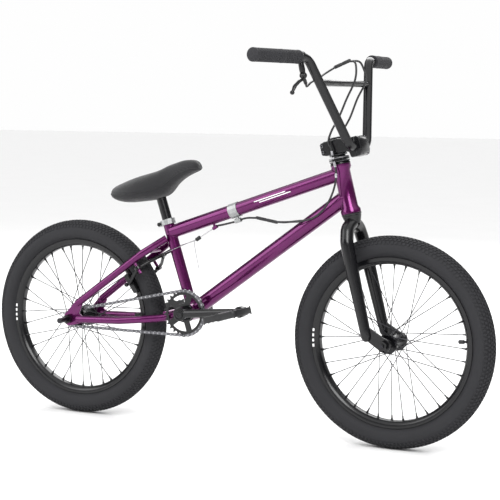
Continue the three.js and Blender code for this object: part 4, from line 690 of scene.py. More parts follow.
# ------------------------------------------------------------------ frame
@dataclass
class FrameWork:
    """The welded frame: its tubes, stays, dropouts and weld beads."""

    seat_tube_length: float = 238 * MM
    seat_tube_radius: float = 14.3 * MM
    top_tube_radius: float = 17 * MM
    down_tube_radius: float = 19.05 * MM
    stay_radius: float = 9.5 * MM
    shell_radius: float = 23.5 * MM
    shell_half: float = 34 * MM
    head_from: float = 322 * MM
    head_to: float = 442 * MM
    head_radius: float = 20 * MM
    head_end: float = 24.4 * MM
    down_up_head: float = 42 * MM
    hub_half: float = 55.3 * MM
    plate: float = 6 * MM
    rise: float = 37 * MM
    upper_bridge_radius: float = 6.5 * MM
    lower_bridge_radius: float = 6 * MM
    brake_post_radius: float = 4 * MM
    bead_radius: float = 1.5 * MM

    def build(self) -> None:
        """Builds the whole frame as one painted piece, and its weld beads."""
        shell = Shell()
        self._main_tubes(shell)
        for side in SIDES.values():
            self._stays(shell, side)
            self._brake_post(shell, side)
        self._braces(shell)
        self._cable_stop(shell)
        add_piece(shell.piece("frame_tubes"), "frame", Finish.PURPLE, ["frame"], 0.4 * MM)
        for name, side in SIDES.items():
            self._dropout(name, side)
        self._welds()
        self._prints()

    def _main_tubes(self, shell: Shell) -> None:
        """The seat, top, down and head tubes and the bottom bracket shell."""
        p = PLACES
        shell.turn(
            self._pipe(13.2 * MM, self.seat_tube_radius, 0.02, self.seat_tube_length),
            axis_place(p.shell, p.up_seat),
        )
        shell.sweep([p.top_start, p.top_end], self.top_tube_radius, 40)
        down = p.steer(0, 0, self.head_from + self.down_up_head)
        shell.sweep([p.shell, down], self.down_tube_radius, 40)
        flare = 16 * MM
        profile = [
            (17 * MM, self.head_from),
            (self.head_end, self.head_from),
            (self.head_end, self.head_from + flare / 2),
            (self.head_radius, self.head_from + flare),
            (self.head_radius, self.head_to - flare),
            (self.head_end, self.head_to - flare / 2),
            (self.head_end, self.head_to),
            (17 * MM, self.head_to),
        ]
        shell.turn(profile, PLACES.steering_place())
        bracket = self._pipe(20.9 * MM, self.shell_radius, -self.shell_half, self.shell_half)
        shell.turn(bracket, axis_place(p.shell, Y_AXIS))

    @staticmethod
    def _pipe(inner: float, outer: float, start: float, end: float) -> list[tuple[float, float]]:
        """A tube's section, from start to end."""
        return [(inner, start), (outer, start), (outer, end), (inner, end)]

    def _stays(self, shell: Shell, side: int) -> None:
        """One side's seatstay and chainstay."""
        p = PLACES
        upper = [(44, 58, 19), (172, 51, 19), (272, 45, 19), (318, 32, 17), (348, 16, 17)]
        seat_stay = rounded([p.on_stay(a, side * left, above) for a, left, above in upper], 60 * MM)
        shell.sweep(seat_stay, self.stay_radius, 28)
        heading = (p.shell - p.rear).normalized()
        lower = [(24, 58, 0), (150, 52, 0.3), (216, 46, 0.5), (262, 36, 0.6), (284, 32, 0.7), (326, 24, 1)]
        points = []
        for along, left, share in lower:
            step = Vector((heading.x * along, side * left, heading.z * along * share))
            points.append(p.rear + step * MM)
        shell.sweep(rounded(points, 60 * MM), self.stay_radius, 28)

    def _braces(self, shell: Shell) -> None:
        """The short tubes that tie each pair of stays."""
        p = PLACES
        shell.sweep([p.on_stay(288, -40, 19), p.on_stay(288, 40, 19)], self.upper_bridge_radius, 20)
        low = p.rear + Vector((274 * MM, 0.0, self.rise * 0.8))
        reach = Vector((0.0, 32 * MM, 0.0))
        shell.sweep([low - reach, low + reach], self.lower_bridge_radius, 20)

    def _brake_post(self, shell: Shell, side: int) -> None:
        """The post that one brake arm turns on."""
        p = PLACES
        along, left = p.brake_post_along, side * p.brake_post_left
        shell.sweep([p.on_stay(along, left, 17), p.on_stay(along, left, -21)], self.brake_post_radius, 20)

    def _cable_stop(self, shell: Shell) -> None:
        """The barrel under the top tube where the lower cable's housing ends."""
        p = PLACES
        rear = p.on_top(121, 0, -26.5)
        pull = (rear - p.on_top(70.7, 0, -38)).normalized()
        profile = self._pipe(1.6 * MM, 4.4 * MM, 0.0, 14 * MM)
        shell.turn(profile, axis_place(rear, pull), 24)
        shell.sweep([p.on_top(129, 0, -13), rear + pull * 5 * MM + p.top_up * 3.2 * MM], 3 * MM, 16)

    def _dropout(self, name: str, side: int) -> None:
        """One side's rear dropout plate, open to the rear."""
        slot = 7.4
        outline = arc(18, range(205, 291, 8))
        outline += [(40, -8), (42, 8), (30, 16), (40, 40), (26, 54)]
        outline += arc(18, range(150, 157, 3))
        outline += [(-16.2, slot), (0, slot)]
        outline += arc(slot, range(75, -91, -15))
        outline += [(-16.2, -slot)]
        plate = flat_plate(f"dropout_{name}", [in_mm(outline)], self.plate, 0.6 * MM)
        middle = side * (self.hub_half + self.plate / 2)
        plate.data.transform(
            Matrix.Translation(PLACES.rear + Vector((0, middle, 0))) @ Matrix.Rotation(math.pi / 2, 4, "X")
        )
        add_piece(plate, "frame", Finish.PURPLE)

    def _welds(self) -> None:
        """Beads round the joints of the main tubes."""
        p = PLACES
        shell = Shell()
        down_end = p.steer(0, 0, self.head_from + self.down_up_head)
        down_axis = (down_end - p.shell).normalized()
        joints = [
            (p.top_end, -p.top_along, self.top_tube_radius, p.along, self.head_radius),
            (down_end, -down_axis, self.down_tube_radius, p.along, self.head_radius),
            (p.top_start, p.top_along, self.top_tube_radius, p.up_seat, self.seat_tube_radius),
            (p.shell, down_axis, self.down_tube_radius, Y_AXIS, self.shell_radius),
            (p.shell, p.up_seat, self.seat_tube_radius, Y_AXIS, self.shell_radius),
        ]
        for start, heading, radius, other, other_radius in joints:
            shell.sweep(self._bead(start, heading, radius, other, other_radius), self.bead_radius, 8)
        add_piece(shell.piece("weld_beads"), "frame", Finish.PURPLE)

    @staticmethod
    def _bead(
        start: Vector, heading: Vector, radius: float, other: Vector, other_radius: float
    ) -> list[Vector]:
        """A rippled loop where a tube meets the side of another.

        Args:
            start: where their centre lines meet.
            heading: the tube's direction away from the other.
            radius: the tube's radius.
            other: the other tube's direction.
            other_radius: the other tube's radius.

        Returns:
            The loop's points.
        """
        side = heading.cross(other).normalized()
        up = side.cross(heading).normalized()
        points = []
        steps = 60
        for i in range(steps + 1):
            angle = 2 * math.pi * i / steps
            offset = side * (math.cos(angle) * radius) + up * (math.sin(angle) * radius)
            across = min(abs(math.cos(angle) * radius), other_radius * 0.985)
            depth = math.sqrt(other_radius**2 - across**2)
            lean = heading.dot(other)
            square = math.sqrt(1 - lean**2)
            reach = (depth - offset.dot(other) * lean * -1) / square
            ripple = 1 + 0.012 * math.cos(angle * 30)
            points.append(start + offset * ripple + heading * max(reach, depth * 0.9))
        return points

    def _prints(self) -> None:
        """Plain pale stripes on both sides of the top tube."""
        p = PLACES
        shell = Shell()
        for low, high, lift in ((262, 352, 2.6), (276, 366, -2.6)):
            self._stripe(shell, p.on_top(low, 0, 0), p.top_along, (high - low) * MM, p.top_up, lift)
        add_piece(shell.piece("top_tube_stripes"), "frame", Finish.WHITE)

    def _stripe(
        self, shell: Shell, start: Vector, heading: Vector, length: float, up: Vector, lift: float
    ) -> None:
        """One thin stripe that follows the tube's round side, on both sides of the tube."""
        skin = self.top_tube_radius + 0.12 * MM
        for side in (-1, 1):
            rings = []
            for share in (0.0, 1.0):
                centre = start + heading * length * share
                row = []
                for steps, radius in ((range(5), skin), (reversed(range(5)), skin - 0.5 * MM)):
                    for step in steps:
                        angle = math.radians(lift * 3.2 + (step - 2) * 2.0)
                        outward = Vector((0.0, side * math.cos(angle), 0.0)) + up * math.sin(angle)
                        row.append(centre + outward * radius)
                rings.append(row if side > 0 else row[::-1])
            shell.rings(rings)


# ------------------------------------------------------------------ steering
@dataclass
class Steering:
    """The fork, headset, stem and handlebar."""

    stem_bottom: float = 467.3
    stem_height: float = 35.7
    bar_up: float = 474.0
    reach: float = 56.0
    rise: float = 212.0
    low_half: float = 50.0
    bend_half: float = 176.0
    end_half: float = 379.0
    backsweep: float = math.radians(9.7)
    upsweep: float = math.radians(2.8)
    bar_radius: float = 11.1 * MM
    bar_bend: float = 40 * MM
    crossbar_up: float = 153.0
    crossbar_radius: float = 8 * MM
    collar_radius: float = 9.6 * MM
    grip_length: int = 171
    grip_overhang: float = 4.0
    grip_edge: float = 15.9
    stem_half_height: float = 24.0
    stem_width: float = 47.0
    plate_width: float = 51.0
    bolt_left: float = 17.0
    bolt_up: float = 18.0

    def bar_end(self, side: int, outward: float) -> tuple[float, float, float]:
        """A point on the bar's outer part, so far outward from its bend."""
        along = outward / math.cos(self.backsweep)
        back = math.sin(self.backsweep) * along
        up = math.sin(self.upsweep) * along
        return (self.reach - back, side * (self.bend_half + outward), self.bar_up + self.rise + up)

    def build(self) -> None:
        """Builds every steering piece."""
        self._fork()
        self._headset()
        self._handlebar()
        for name, side in SIDES.items():
            self._grip(name, side)
        self._stem()
        self._stem_bolts()

    def _fork(self) -> None:
        """The fork's steerer, crown and tapered legs, and its dropouts."""
        p = PLACES
        shell = Shell()
        shell.turn(
            [(12.3 * MM, 0.30), (14.3 * MM, 0.30), (14.3 * MM, 0.501), (12.3 * MM, 0.501)], p.steering_place()
        )
        shell.turn([(0, 0.296), (17.3 * MM, 0.296), (23.4 * MM, 0.316), (0, 0.316)], p.steering_place())
        for side in SIDES.values():
            upper = [(-1, 6, 299), (-4, 34, 288), (-6.5, 48, 255), (-6.5, 51, 200)]
            points = rounded([p.steer_mm(u, side * v, w) for u, v, w in upper], 30 * MM, 10)
            radii = [15.9 * MM] * len(points)
            for share in (0.25, 0.5, 0.75, 0.9, 1.0):
                points.append(p.steer_mm(-6.5, side * (51 + 5 * share), 200 - 172 * share))
                radii.append((15.9 - 3.4 * share) * MM)
            for share in (0.5, 0.8, 0.95):
                points.append(p.steer_mm(-6.5, side * 56, 28 - 12.5 * share))
                radii.append(12.5 * MM * math.sqrt(1 - share**2))
            shell.sweep(points, radii, 36)
        add_piece(shell.piece("fork_tubes"), "steering", Finish.BLACK, ["fork"], 0.4 * MM)
        for name, side in SIDES.items():
            self._fork_end(name, side)

    def _fork_end(self, name: str, side: int) -> None:
        """One fork dropout, from the leg's foot forward to the axle."""
        p = PLACES
        eye = (p.fork_offset / MM, 0.0)
        outline = arc(17, range(-72, 76, 8), eye)
        outline += [(1.5, 52), (-14.5, 26)]
        outline += arc(17, range(-140, -107, 8), eye)
        outline += [(26.7, 0)]
        outline += arc(5.3, range(165, -1, -15), eye)
        plate = flat_plate(f"fork_end_{name}", [in_mm(outline)], 6 * MM, 0.6 * MM)
        outward = Matrix.Translation((0, side * 53.3 * MM, 0))
        plate.data.transform(p.steering_place() @ outward @ Matrix.Rotation(math.pi / 2, 4, "X"))
        add_piece(plate, "steering", Finish.BLACK)

    def _headset(self) -> None:
        """The headset's cups, spacer and top cap."""
        place = PLACES.steering_place()
        pieces = {
            "headset_upper": (
                [(14.9, 442.3), (24.4, 442.3), (24.4, 445), (22.6, 448), (14.9, 448)],
                "headset_bearing_upper",
                "frame",
            ),
            "headset_lower": (
                [(14.9, 316.3), (23, 316.3), (24.4, 319), (24.4, 321.7), (14.9, 321.7)],
                "headset_bearing_lower",
                "frame",
            ),
            "spacer": (
                [(14.9, 448.3), (16.5, 448.3), (16.5, 464.2), (14.9, 464.2)], "headset_spacer", "steering"
            ),
            "top_cap": (
                [
                    (3.2, 500), (3.2, 503.6), (16, 503.6), (16.2, 506), (14.5, 508), (6, 508), (5, 505),
                    (0, 505), (0, 500),
                ],
                "compression_bolt",
                "steering",
            ),
        }
        for name, (profile, node, body) in pieces.items():
            shell = Shell()
            shell.turn(in_mm(profile), place)
            add_piece(shell.piece(name), body, Finish.BLACK, [node], 0.3 * MM)

    def _handlebar(self) -> None:
        """The bent bar and its crossbar."""
        p = PLACES
        half = [
            (self.reach, self.low_half, self.bar_up), (self.reach, self.bend_half, self.bar_up + self.rise)
        ]
        half.append(self.bar_end(1, self.end_half - self.bend_half))
        right = [p.steer_mm(u, -v, w) for u, v, w in reversed(half)]
        left = [p.steer_mm(u, v, w) for u, v, w in half]
        shell = Shell()
        shell.sweep(rounded([*right, *left], self.bar_bend, 12), self.bar_radius, 36)
        share = self.crossbar_up / self.rise
        reach = self.low_half + (self.bend_half - self.low_half) * share
        up = self.bar_up + self.crossbar_up
        shell.sweep(
            [p.steer_mm(self.reach, -reach, up), p.steer_mm(self.reach, reach, up)], self.crossbar_radius, 28
        )
        for side in (-1, 1):
            ends = [p.steer_mm(self.reach, side * (reach - inset), up) for inset in (7.5, 5.5)]
            shell.sweep(ends, self.collar_radius, 24)
        add_piece(shell.piece("bar_tube"), "steering", Finish.BLACK, ["handlebar"], 0.4 * MM)

    def _grip(self, name: str, side: int) -> None:
        """One ribbed rubber grip with a small flange and a domed end."""
        p = PLACES
        start = self.end_half - self.bend_half + self.grip_overhang - self.grip_length
        steps = self.grip_length * 2
        points, radii = [], []
        for i in range(steps + 1):
            along = i / 2
            radius = 14.6 + (1.0 if (along % 6.0) < 3.6 else 0.0)
            if along < 5:
                radius = 16.0
            if 60 < along < 66 or along > 158:
                radius = self.grip_edge
            if along > 165:
                radius = self.grip_edge * math.sqrt(max(0.05, 1 - ((along - 165) / 6.3) ** 2))
            points.append(p.steer_mm(*self.bar_end(side, start + along)))
            radii.append(radius * MM)
        shell = Shell()
        shell.sweep(points, radii, 40)
        add_piece(shell.piece(f"rubber_grip_{name}"), "steering", Finish.GRIP, [f"grip_{name}"])

    def _stem(self) -> None:
        """The stem's body and its front clamp plate, each a rounded solid cut from its side view."""
        low, high = self.bar_up - self.stem_half_height, self.bar_up + self.stem_half_height
        gap = self.reach - 0.4
        body = [
            (-33, 473), (-30, 471), (-21, 468), (24, 468), (36, 466.5), (39, 462), (40, low + 3), (44, low),
            (gap, low),
        ]
        body += [(gap, high), (44, high), (30, 500), (16, 503), (-20, 503), (-30, 500.5), (-33, 497)]
        plate = [
            (self.reach + 0.4, low),
            (self.reach + 9, low),
            (self.reach + 15, low + 5),
            (self.reach + 17.5, low + 13),
        ]
        plate += [
            (self.reach + 17.5, high - 13),
            (self.reach + 15, high - 5),
            (self.reach + 9, high),
            (self.reach + 0.4, high),
        ]
        for name, outline, node in (("stem_body", body, "stem"), ("stem_plate", plate, "stem_clamp_plate")):
            width = self.stem_width if node == "stem" else self.plate_width
            piece = flat_plate(name, [in_mm(outline)], width * MM, 2.4 * MM)
            piece.data.transform(PLACES.steering_place() @ Matrix.Rotation(math.pi / 2, 4, "X"))
            add_piece(piece, "steering", Finish.BLACK, [node])

    def _stem_bolts(self) -> None:
        """The four front bolts and the two rear ones."""
        shell = Shell()
        p = PLACES
        for v in (-self.bolt_left, self.bolt_left):
            for w in (self.bar_up - self.bolt_up, self.bar_up + self.bolt_up):
                place = axis_place(p.steer_mm(self.reach + 13.6, v, w), p.ahead)
                shell.turn(
                    [(2.4 * MM, -1 * MM), (4.4 * MM, -1 * MM), (4.4 * MM, 1.4 * MM), (2.4 * MM, 1.4 * MM)],
                    place,
                    20,
                )
        for w in (self.stem_bottom + 11, self.stem_bottom + 26):
            place = axis_place(p.steer_mm(-27, -23.2, w), Vector((0, -1, 0)))
            shell.turn([(2 * MM, -1 * MM), (4 * MM, -1 * MM), (4 * MM, 3 * MM), (2 * MM, 3 * MM)], place, 20)
        add_piece(shell.piece("stem_bolts"), "steering", Finish.DARK_STEEL)


# ------------------------------------------------------------------ wheels
@dataclass
class Wheel:
    """One wheel: tyre with its tread, rim, spokes, nipples and hub."""

    name: str
    body: str
    flange_radius: float
    flange_offset: float
    axle_radius: float
    right_end: float
    left_end: float
    spoke_phase: float = 0.0
    marks_at: float = 174.0
    marks: int = 4
    mark_pitch: float = 3.6
    mark_sweep: float = 2.0
    mark_face: float = 15.95
    valve_angle: float = 5.0
    spokes_each_way: int = 9
    tread_count: int = 150
    crown: float = 25.9
    half: float = 27.6
    wall: float = 3.2
    tyre_radius: float = 256.0
    tyre_half: float = 29.5
    rim_outer: float = 205.5
    rim_inner: float = 188.0

    def __post_init__(self) -> None:
        """Finds the wheel's centre."""
        self.centre = node_centre(f"{self.name}_rim")
        self.place = axis_place(self.centre, Y_AXIS, Vector((1, 0, 0)))

    def point(self, radius: float, degrees: float, along: float) -> Vector:
        """A point by radius, angle and distance to the left, in millimetres."""
        angle = math.radians(degrees)
        step = Vector((radius * math.cos(angle), along, radius * math.sin(angle)))
        return self.centre + step * MM

    def build(self) -> None:
        """Builds every piece of the wheel."""
        self._tyre()
        self._rim()
        self._spokes()
        self._hub()

    def _tyre(self) -> None:
        """The tyre's carcass and its knobs."""
        centre = self.tyre_radius - 28
        crown, half = self.crown, self.half
        outer = []
        for step in range(33):
            angle = math.radians(125 * (1 - step / 16))
            outer.append((centre + crown * math.cos(angle), half * math.sin(angle)))
        inner = []
        for step in range(17):
            angle = math.radians(-125 * (1 - step / 8))
            inner.append(
                (centre + (crown - self.wall) * math.cos(angle), (half - self.wall) * math.sin(angle))
            )
        ridge = [(207.2, 15.4), (206.0, 13.4)]
        bead = [(199.3, 13.4)]
        profile = bead + ridge[::-1] + outer + [(r, -h) for r, h in ridge] + [(r, -h) for r, h in bead]
        profile += [(199.3, -10), (207, -10), *inner, (207, 10), (199.3, 10)]
        shell = Shell()
        shell.turn(in_mm(profile), self.place, 128)
        add_piece(shell.piece(f"{self.name}_tyre_carcass"), self.body, Finish.TYRE, [f"{self.name}_tyre"])
        self._tread(centre, crown, half)

    def _tread(self, centre: float, crown: float, half: float) -> None:
        """Rows of low blocks across the tyre, each row set between the next one's blocks."""
        shell = Shell()
        count = self.tread_count
        rows = (
            (0.0, 5.6, 0.0, 3.3),
            (14.5, 5.8, 0.5, 3.3),
            (29.0, 5.8, 0.0, 3.4),
            (44.0, 6.4, 0.5, 3.5),
            (61.0, 8.0, 0.0, 3.1),
        )
        pitch = 360 / count
        for angle, width, shift, length in rows:
            for side in (1, -1) if angle else (1,):
                for i in range(count):
                    middle = (i + shift) * pitch
                    self._knob(
                        shell, (centre, crown, half), side * angle, width, middle, length / self.tyre_radius
                    )
        add_piece(shell.piece(f"{self.name}_tread"), self.body, Finish.TYRE)

    def _knob(
        self, shell: Shell, section: tuple[float, float, float], lean: float, width: float, middle: float,
        reach: float,
    ) -> None:
        """One tapered block on the tyre's skin.

        Args:
            shell: what it is added to.
            section: the carcass section's centre radius, height and half width.
            lean: its angle round the section.
            width: its width in degrees round the section.
            middle: its angle round the wheel.
            reach: half its length, in radians round the wheel.
        """
        centre, crown, half = section
        corners = []
        for lift, taper in ((-0.6, 1.0), (2.0, 0.86)):
            for du, dv in ((-1, -1), (1, -1), (1, 1), (-1, 1)):
                tilt = math.radians(lean + du * width * taper)
                radius = centre + (crown + lift) * math.cos(tilt)
                along = (half + lift) * math.sin(tilt)
                corners.append(self.point(radius, middle + math.degrees(dv * reach * taper), along))
        shell.block(corners)

    def _rim(self) -> None:
        """The rim, the pale bars on its sides, and the valve."""
        half = [
            (188, 7), (188.6, 9), (196, 15.2), (197.5, 15.8), (205, 15.8), (205.5, 15.2), (205.5, 13.9),
            (199, 13.8), (198.3, 12.5),
        ]
        profile = half + [(r, -h) for r, h in reversed(half)]
        shell = Shell()
        shell.turn(in_mm(profile), self.place, 128)
        add_piece(shell.piece(f"{self.name}_rim_ring"), self.body, Finish.BLACK, [f"{self.name}_rim"])
        self._bars()
        self._valve()

    def _bars(self) -> None:
        """Plain pale bars on the rim's sides."""
        shell = Shell()
        for side in (-1, 1):
            face = self.mark_face
            corners = ((199.2, face), (204.0, face), (204.0, face - 0.6), (199.2, face - 0.6))
            for k in range(self.marks):
                low = self.marks_at + k * self.mark_pitch
                rings = []
                for angle in (low, low + self.mark_sweep / 2, low + self.mark_sweep):
                    rings.append([self.point(r, angle, side * h) for r, h in corners])
                shell.rings(rings if side > 0 else rings[::-1])
        add_piece(shell.piece(f"{self.name}_rim_bars"), self.body, Finish.WHITE)

    def _valve(self) -> None:
        """The valve's stem and cap, pointing at the hub."""
        shell = Shell()
        angle = self.valve_angle
        inward = (self.point(100, angle, 0) - self.point(180, angle, 0)).normalized()
        place = axis_place(self.point(188.4, angle, 0), inward)
        profile = [
            (0, -2), (4.4, -2), (4.4, 2), (3.2, 3), (3.2, 8), (4.9, 8.6), (4.9, 20), (3.6, 22), (0, 22)
        ]
        shell.turn(in_mm(profile), place, 20)
        add_piece(shell.piece(f"{self.name}_valve"), self.body, Finish.PLASTIC)

    def _spokes(self) -> None:
        """Both sides' spokes, three-cross, with their heads and nipples."""
        nipples = Shell()
        face = self.flange_offset + 1.75
        for name, side in SIDES.items():
            shell = Shell()
            shift = 10.0 if side > 0 else 0.0
            for i in range(self.spokes_each_way):
                for lean in (-1, 1):
                    foot = i * 40 + shift + (1 - lean) * 10 + self.spoke_phase
                    start = self.point(self.flange_radius - 3.2, foot, side * (face + 1.0 * (1 + lean * 0.6)))
                    end = self.point(self.rim_inner - 3.5, foot + lean * 60, side * 4.2)
                    shell.sweep([start, end], 1.05 * MM, 8)
                    head = self.point(self.flange_radius - 3.2, foot, side * (face - 4.6))
                    shell.sweep([head, start], 0.95 * MM, 8)
                    heading = (end - start).normalized()
                    tip = self.point(self.rim_inner + 0.4, foot + lean * 60, side * 3.8)
                    nipples.sweep(
                        [end - heading * 8 * MM, end - heading * 1.5 * MM, end, tip],
                        [1.7 * MM, 1.9 * MM, 2.9 * MM, 3.0 * MM],
                        10,
                    )
            add_piece(
                shell.piece(f"{self.name}_spoke_set_{name}"),
                self.body,
                Finish.SPOKE,
                [f"{self.name}_spokes_{name}"],
            )
        add_piece(nipples.piece(f"{self.name}_nipples"), self.body, Finish.BLACK)

    def _hub(self) -> None:
        """The hub's turned shell with its two flanges."""
        bore = self.axle_radius + 0.3
        off, rad = self.flange_offset, self.flange_radius
        profile = [
            (bore, -self.right_end), (9, -self.right_end), (11, -self.right_end + 2), (11, -off - 1.75)
        ]
        profile += [
            (rad - 1, -off - 1.75),
            (rad, -off - 0.8),
            (rad, -off + 0.8),
            (rad - 1, -off + 1.75),
            (19, -off + 3),
        ]
        profile += [
            (16, -off + 8), (14.5, 0), (16, off - 8), (19, off - 3), (rad - 1, off - 1.75), (rad, off - 0.8)
        ]
        profile += [
            (rad, off + 0.8),
            (rad - 1, off + 1.75),
            (11, off + 1.75),
            (11, self.left_end - 2),
            (9, self.left_end),
        ]
        profile += [(bore, self.left_end)]
        shell = Shell()
        place = axis_place(self.centre, Y_AXIS)
        shell.turn(in_mm(profile), place, 64)
        add_piece(
            shell.piece(f"{self.name}_hub_shell"), self.body, Finish.BLACK, [f"{self.name}_hub"], 0.3 * MM
        )


# ------------------------------------------------------------------ drive
@dataclass
class Drive:
    """The sprocket, driver, chain, cranks and pedals."""

    chain_line: float = -45.0
    pitch: float = 12.7
    teeth: int = 28
    cog_teeth: int = 10
    links: int = 73
    crank: float = 175.0
    crank_angle: float = math.radians(6)
    pedal_tilt: float = math.radians(15)
    roller_seat: float = 4.05
    pedal_inner: float = 92.0
    pedal_outer: float = 187.0
    pedal_half: float = 46.5

    def __post_init__(self) -> None:
        """Works out the chain's path round both toothed wheels."""
        self.big = self.pitch / (2 * math.sin(math.pi / self.teeth))
        self.small = self.pitch / (2 * math.sin(math.pi / self.cog_teeth))
        line = PLACES.shell - PLACES.rear
        self.span = line.length / MM
        self.lean = math.atan2(line.z, line.x)
        self.beta = math.asin((self.big - self.small) / self.span)
        self.legs = [
            self.big * (math.pi + 2 * self.beta),
            self.span * math.cos(self.beta),
            self.small * (math.pi - 2 * self.beta),
            self.span * math.cos(self.beta),
        ]

    def on_chain(self, distance: float) -> Vector:
        """A point on the chain's path, in the plane of the chain."""
        big_centre, small_centre = PLACES.shell, PLACES.rear
        turn = math.pi / 2 + self.beta
        where = distance % sum(self.legs)
        if where < self.legs[0]:
            angle = self.lean - turn + where / self.big
            return big_centre + self._radial(self.big, angle)
        where -= self.legs[0]
        top_big = big_centre + self._radial(self.big, self.lean + turn)
        top_small = small_centre + self._radial(self.small, self.lean + turn)
        if where < self.legs[1]:
            return top_big.lerp(top_small, where / self.legs[1])
        where -= self.legs[1]
        if where < self.legs[2]:
            angle = self.lean + turn + where / self.small
            return small_centre + self._radial(self.small, angle)
        where -= self.legs[2]
        low_small = small_centre + self._radial(self.small, self.lean - turn)
        low_big = big_centre + self._radial(self.big, self.lean - turn)
        return low_small.lerp(low_big, where / self.legs[3])

    def _radial(self, radius: float, angle: float) -> Vector:
        """A step from a toothed wheel's centre, in the plane of the chain."""
        return Vector((radius * math.cos(angle) * MM, self.chain_line * MM, radius * math.sin(angle) * MM))

    def build(self) -> None:
        """Builds every piece of the drive."""
        self._chain()
        self._sprocket()
        self._driver()
        for name, side in SIDES.items():
            self._crank_arm(name, side)
            self._pedal(name, side)
        keep_node("crank_spindle", Finish.BLACK)
        for name in SIDES:
            keep_node(f"pedal_axle_{name}", Finish.STEEL, 0.4 * MM)
            keep_node(f"bottom_bracket_bearing_{name}", Finish.STEEL, 0.3 * MM)

    def _chain(self) -> None:
        """The chain's plates, and its rollers with their pin ends."""
        plates, rollers = Shell(), Shell()
        step = sum(self.legs) / self.links
        for i in range(self.links):
            start, end = self.on_chain(i * step), self.on_chain((i + 1) * step)
            offset, reach = (2.2, 4.15) if i % 2 else (3.3, 4.2)
            for side in (-1, 1):
                self._link_plate(plates, start, end, side * offset, reach)
            place = axis_place(start, Y_AXIS)
            rollers.turn(in_mm(((1, -2), (3.9, -2), (3.9, 2), (1, 2))), place, 16)
            rollers.turn(in_mm(((0, -4), (1.6, -4), (1.6, 4), (0, 4))), place, 10)
        add_piece(plates.piece("chain_plates"), "frame", Finish.DARK_STEEL, ["chain"], 0.15 * MM)
        add_piece(rollers.piece("chain_rollers"), "frame", Finish.STEEL)

    @staticmethod
    def _link_plate(shell: Shell, start: Vector, end: Vector, offset: float, reach: float) -> None:
        """One waisted link plate between two pins."""
        along = (end - start).normalized()
        up = Vector((-along.z, 0.0, along.x))
        outline = []
        for centre, first in ((end, -70), (start, 110)):
            for k in range(8):
                angle = math.radians(first + k * 20)
                outline.append(centre + (along * math.cos(angle) + up * math.sin(angle)) * reach * MM)
            middle = (start + end) / 2
            sign = 1 if first < 0 else -1
            outline.append(middle + up * sign * 2.7 * MM)
        rings = [[p + Vector((0, (offset + d) * MM, 0)) for p in outline] for d in (0.45, -0.45)]
        shell.rings(rings)

    def _toothed(self, teeth: int, radius: float, phase: float) -> list[tuple[float, float]]:
        """A toothed wheel's outline, with a round seat for each roller."""
        outline = []
        for i in range(teeth):
            middle = phase + 2 * math.pi * i / teeth
            seat = self.roller_seat
            for degrees in range(-60, 61, 20):
                angle = math.radians(degrees)
                inward = radius - seat * math.cos(angle)
                across = seat * math.sin(angle)
                outline.append(self._turned_point(inward, across, middle))
            tip = middle + math.pi / teeth
            for across in (-1.3, 1.3):
                outline.append(self._turned_point(radius + 2.1, across, tip))
        return outline

    @staticmethod
    def _turned_point(radius: float, across: float, angle: float) -> tuple[float, float]:
        """A point at a radius and a small step across, turned round a centre."""
        cos, sin = math.cos(angle), math.sin(angle)
        return ((radius * cos - across * sin) * MM, (radius * sin + across * cos) * MM)

    def _place_plate(self, plate: bpy.types.Object, centre: Vector) -> None:
        """Stands a flat plate up in the plane of the chain."""
        middle = Vector((centre.x, self.chain_line * MM, centre.z))
        plate.data.transform(Matrix.Translation(middle) @ Matrix.Rotation(math.pi / 2, 4, "X"))

    def _sprocket(self) -> None:
        """The sprocket's toothed plate with its windows, and its boss."""
        start = self.lean - math.pi / 2 - self.beta
        outlines = [self._toothed(self.teeth, self.big, start)]
        arms = 5
        for i in range(arms):
            low = 2 * math.pi * i / arms + math.radians(10)
            high = 2 * math.pi * (i + 1) / arms - math.radians(10)
            window = []
            for k in range(17):
                angle = low + (high - low) * k / 16
                window.append((46 * MM * math.cos(angle), 46 * MM * math.sin(angle)))
            for k in range(9):
                angle = high - 0.16 - (high - low - 0.32) * k / 8
                window.append((24 * MM * math.cos(angle), 24 * MM * math.sin(angle)))
            outlines.append(window)
        outlines.append(circle(12 * MM, 32))
        plate = flat_plate("sprocket_plate", outlines, 2.5 * MM, 0.35 * MM)
        self._place_plate(plate, PLACES.shell)
        add_piece(plate, "cranks", Finish.BLACK, ["sprocket"])
        shell = Shell()
        profile = [(11.4, -51.6), (18, -51.6), (18, -47.5), (17, -46.6), (17, -35.4), (11.4, -35.4)]
        shell.turn(in_mm(profile), axis_place(PLACES.shell, Y_AXIS))
        add_piece(shell.piece("sprocket_boss"), "cranks", Finish.BLACK, (), 0.3 * MM)

    def _driver(self) -> None:
        """The small toothed driver on the rear hub."""
        step = sum(self.legs) / self.links
        ahead = (self.legs[0] + self.legs[1]) % step
        phase = self.lean + math.pi / 2 + self.beta + (step - ahead) / self.small
        hole = circle(7.6 * MM, 32)
        plate = flat_plate(
            "driver_teeth", [self._toothed(self.cog_teeth, self.small, phase), hole], 2.5 * MM, 0.3 * MM
        )
        self._place_plate(plate, PLACES.rear)
        add_piece(plate, "driver", Finish.DARK_STEEL, ["driver_cog"])
        shell = Shell()
        profile = [(7.5, -54.6), (11, -54.6), (11, -50), (15.5, -49.6), (15.5, -30.6), (7.5, -30.6)]
        shell.turn(in_mm(profile), axis_place(PLACES.rear, Y_AXIS))
        add_piece(shell.piece("driver_sleeve"), "driver", Finish.DARK_STEEL, (), 0.3 * MM)

    def arm_heading(self, side: int) -> Vector:
        """The direction of one crank arm."""
        angle = self.crank_angle if side < 0 else self.crank_angle + math.pi
        return Vector((math.cos(angle), 0.0, math.sin(angle)))

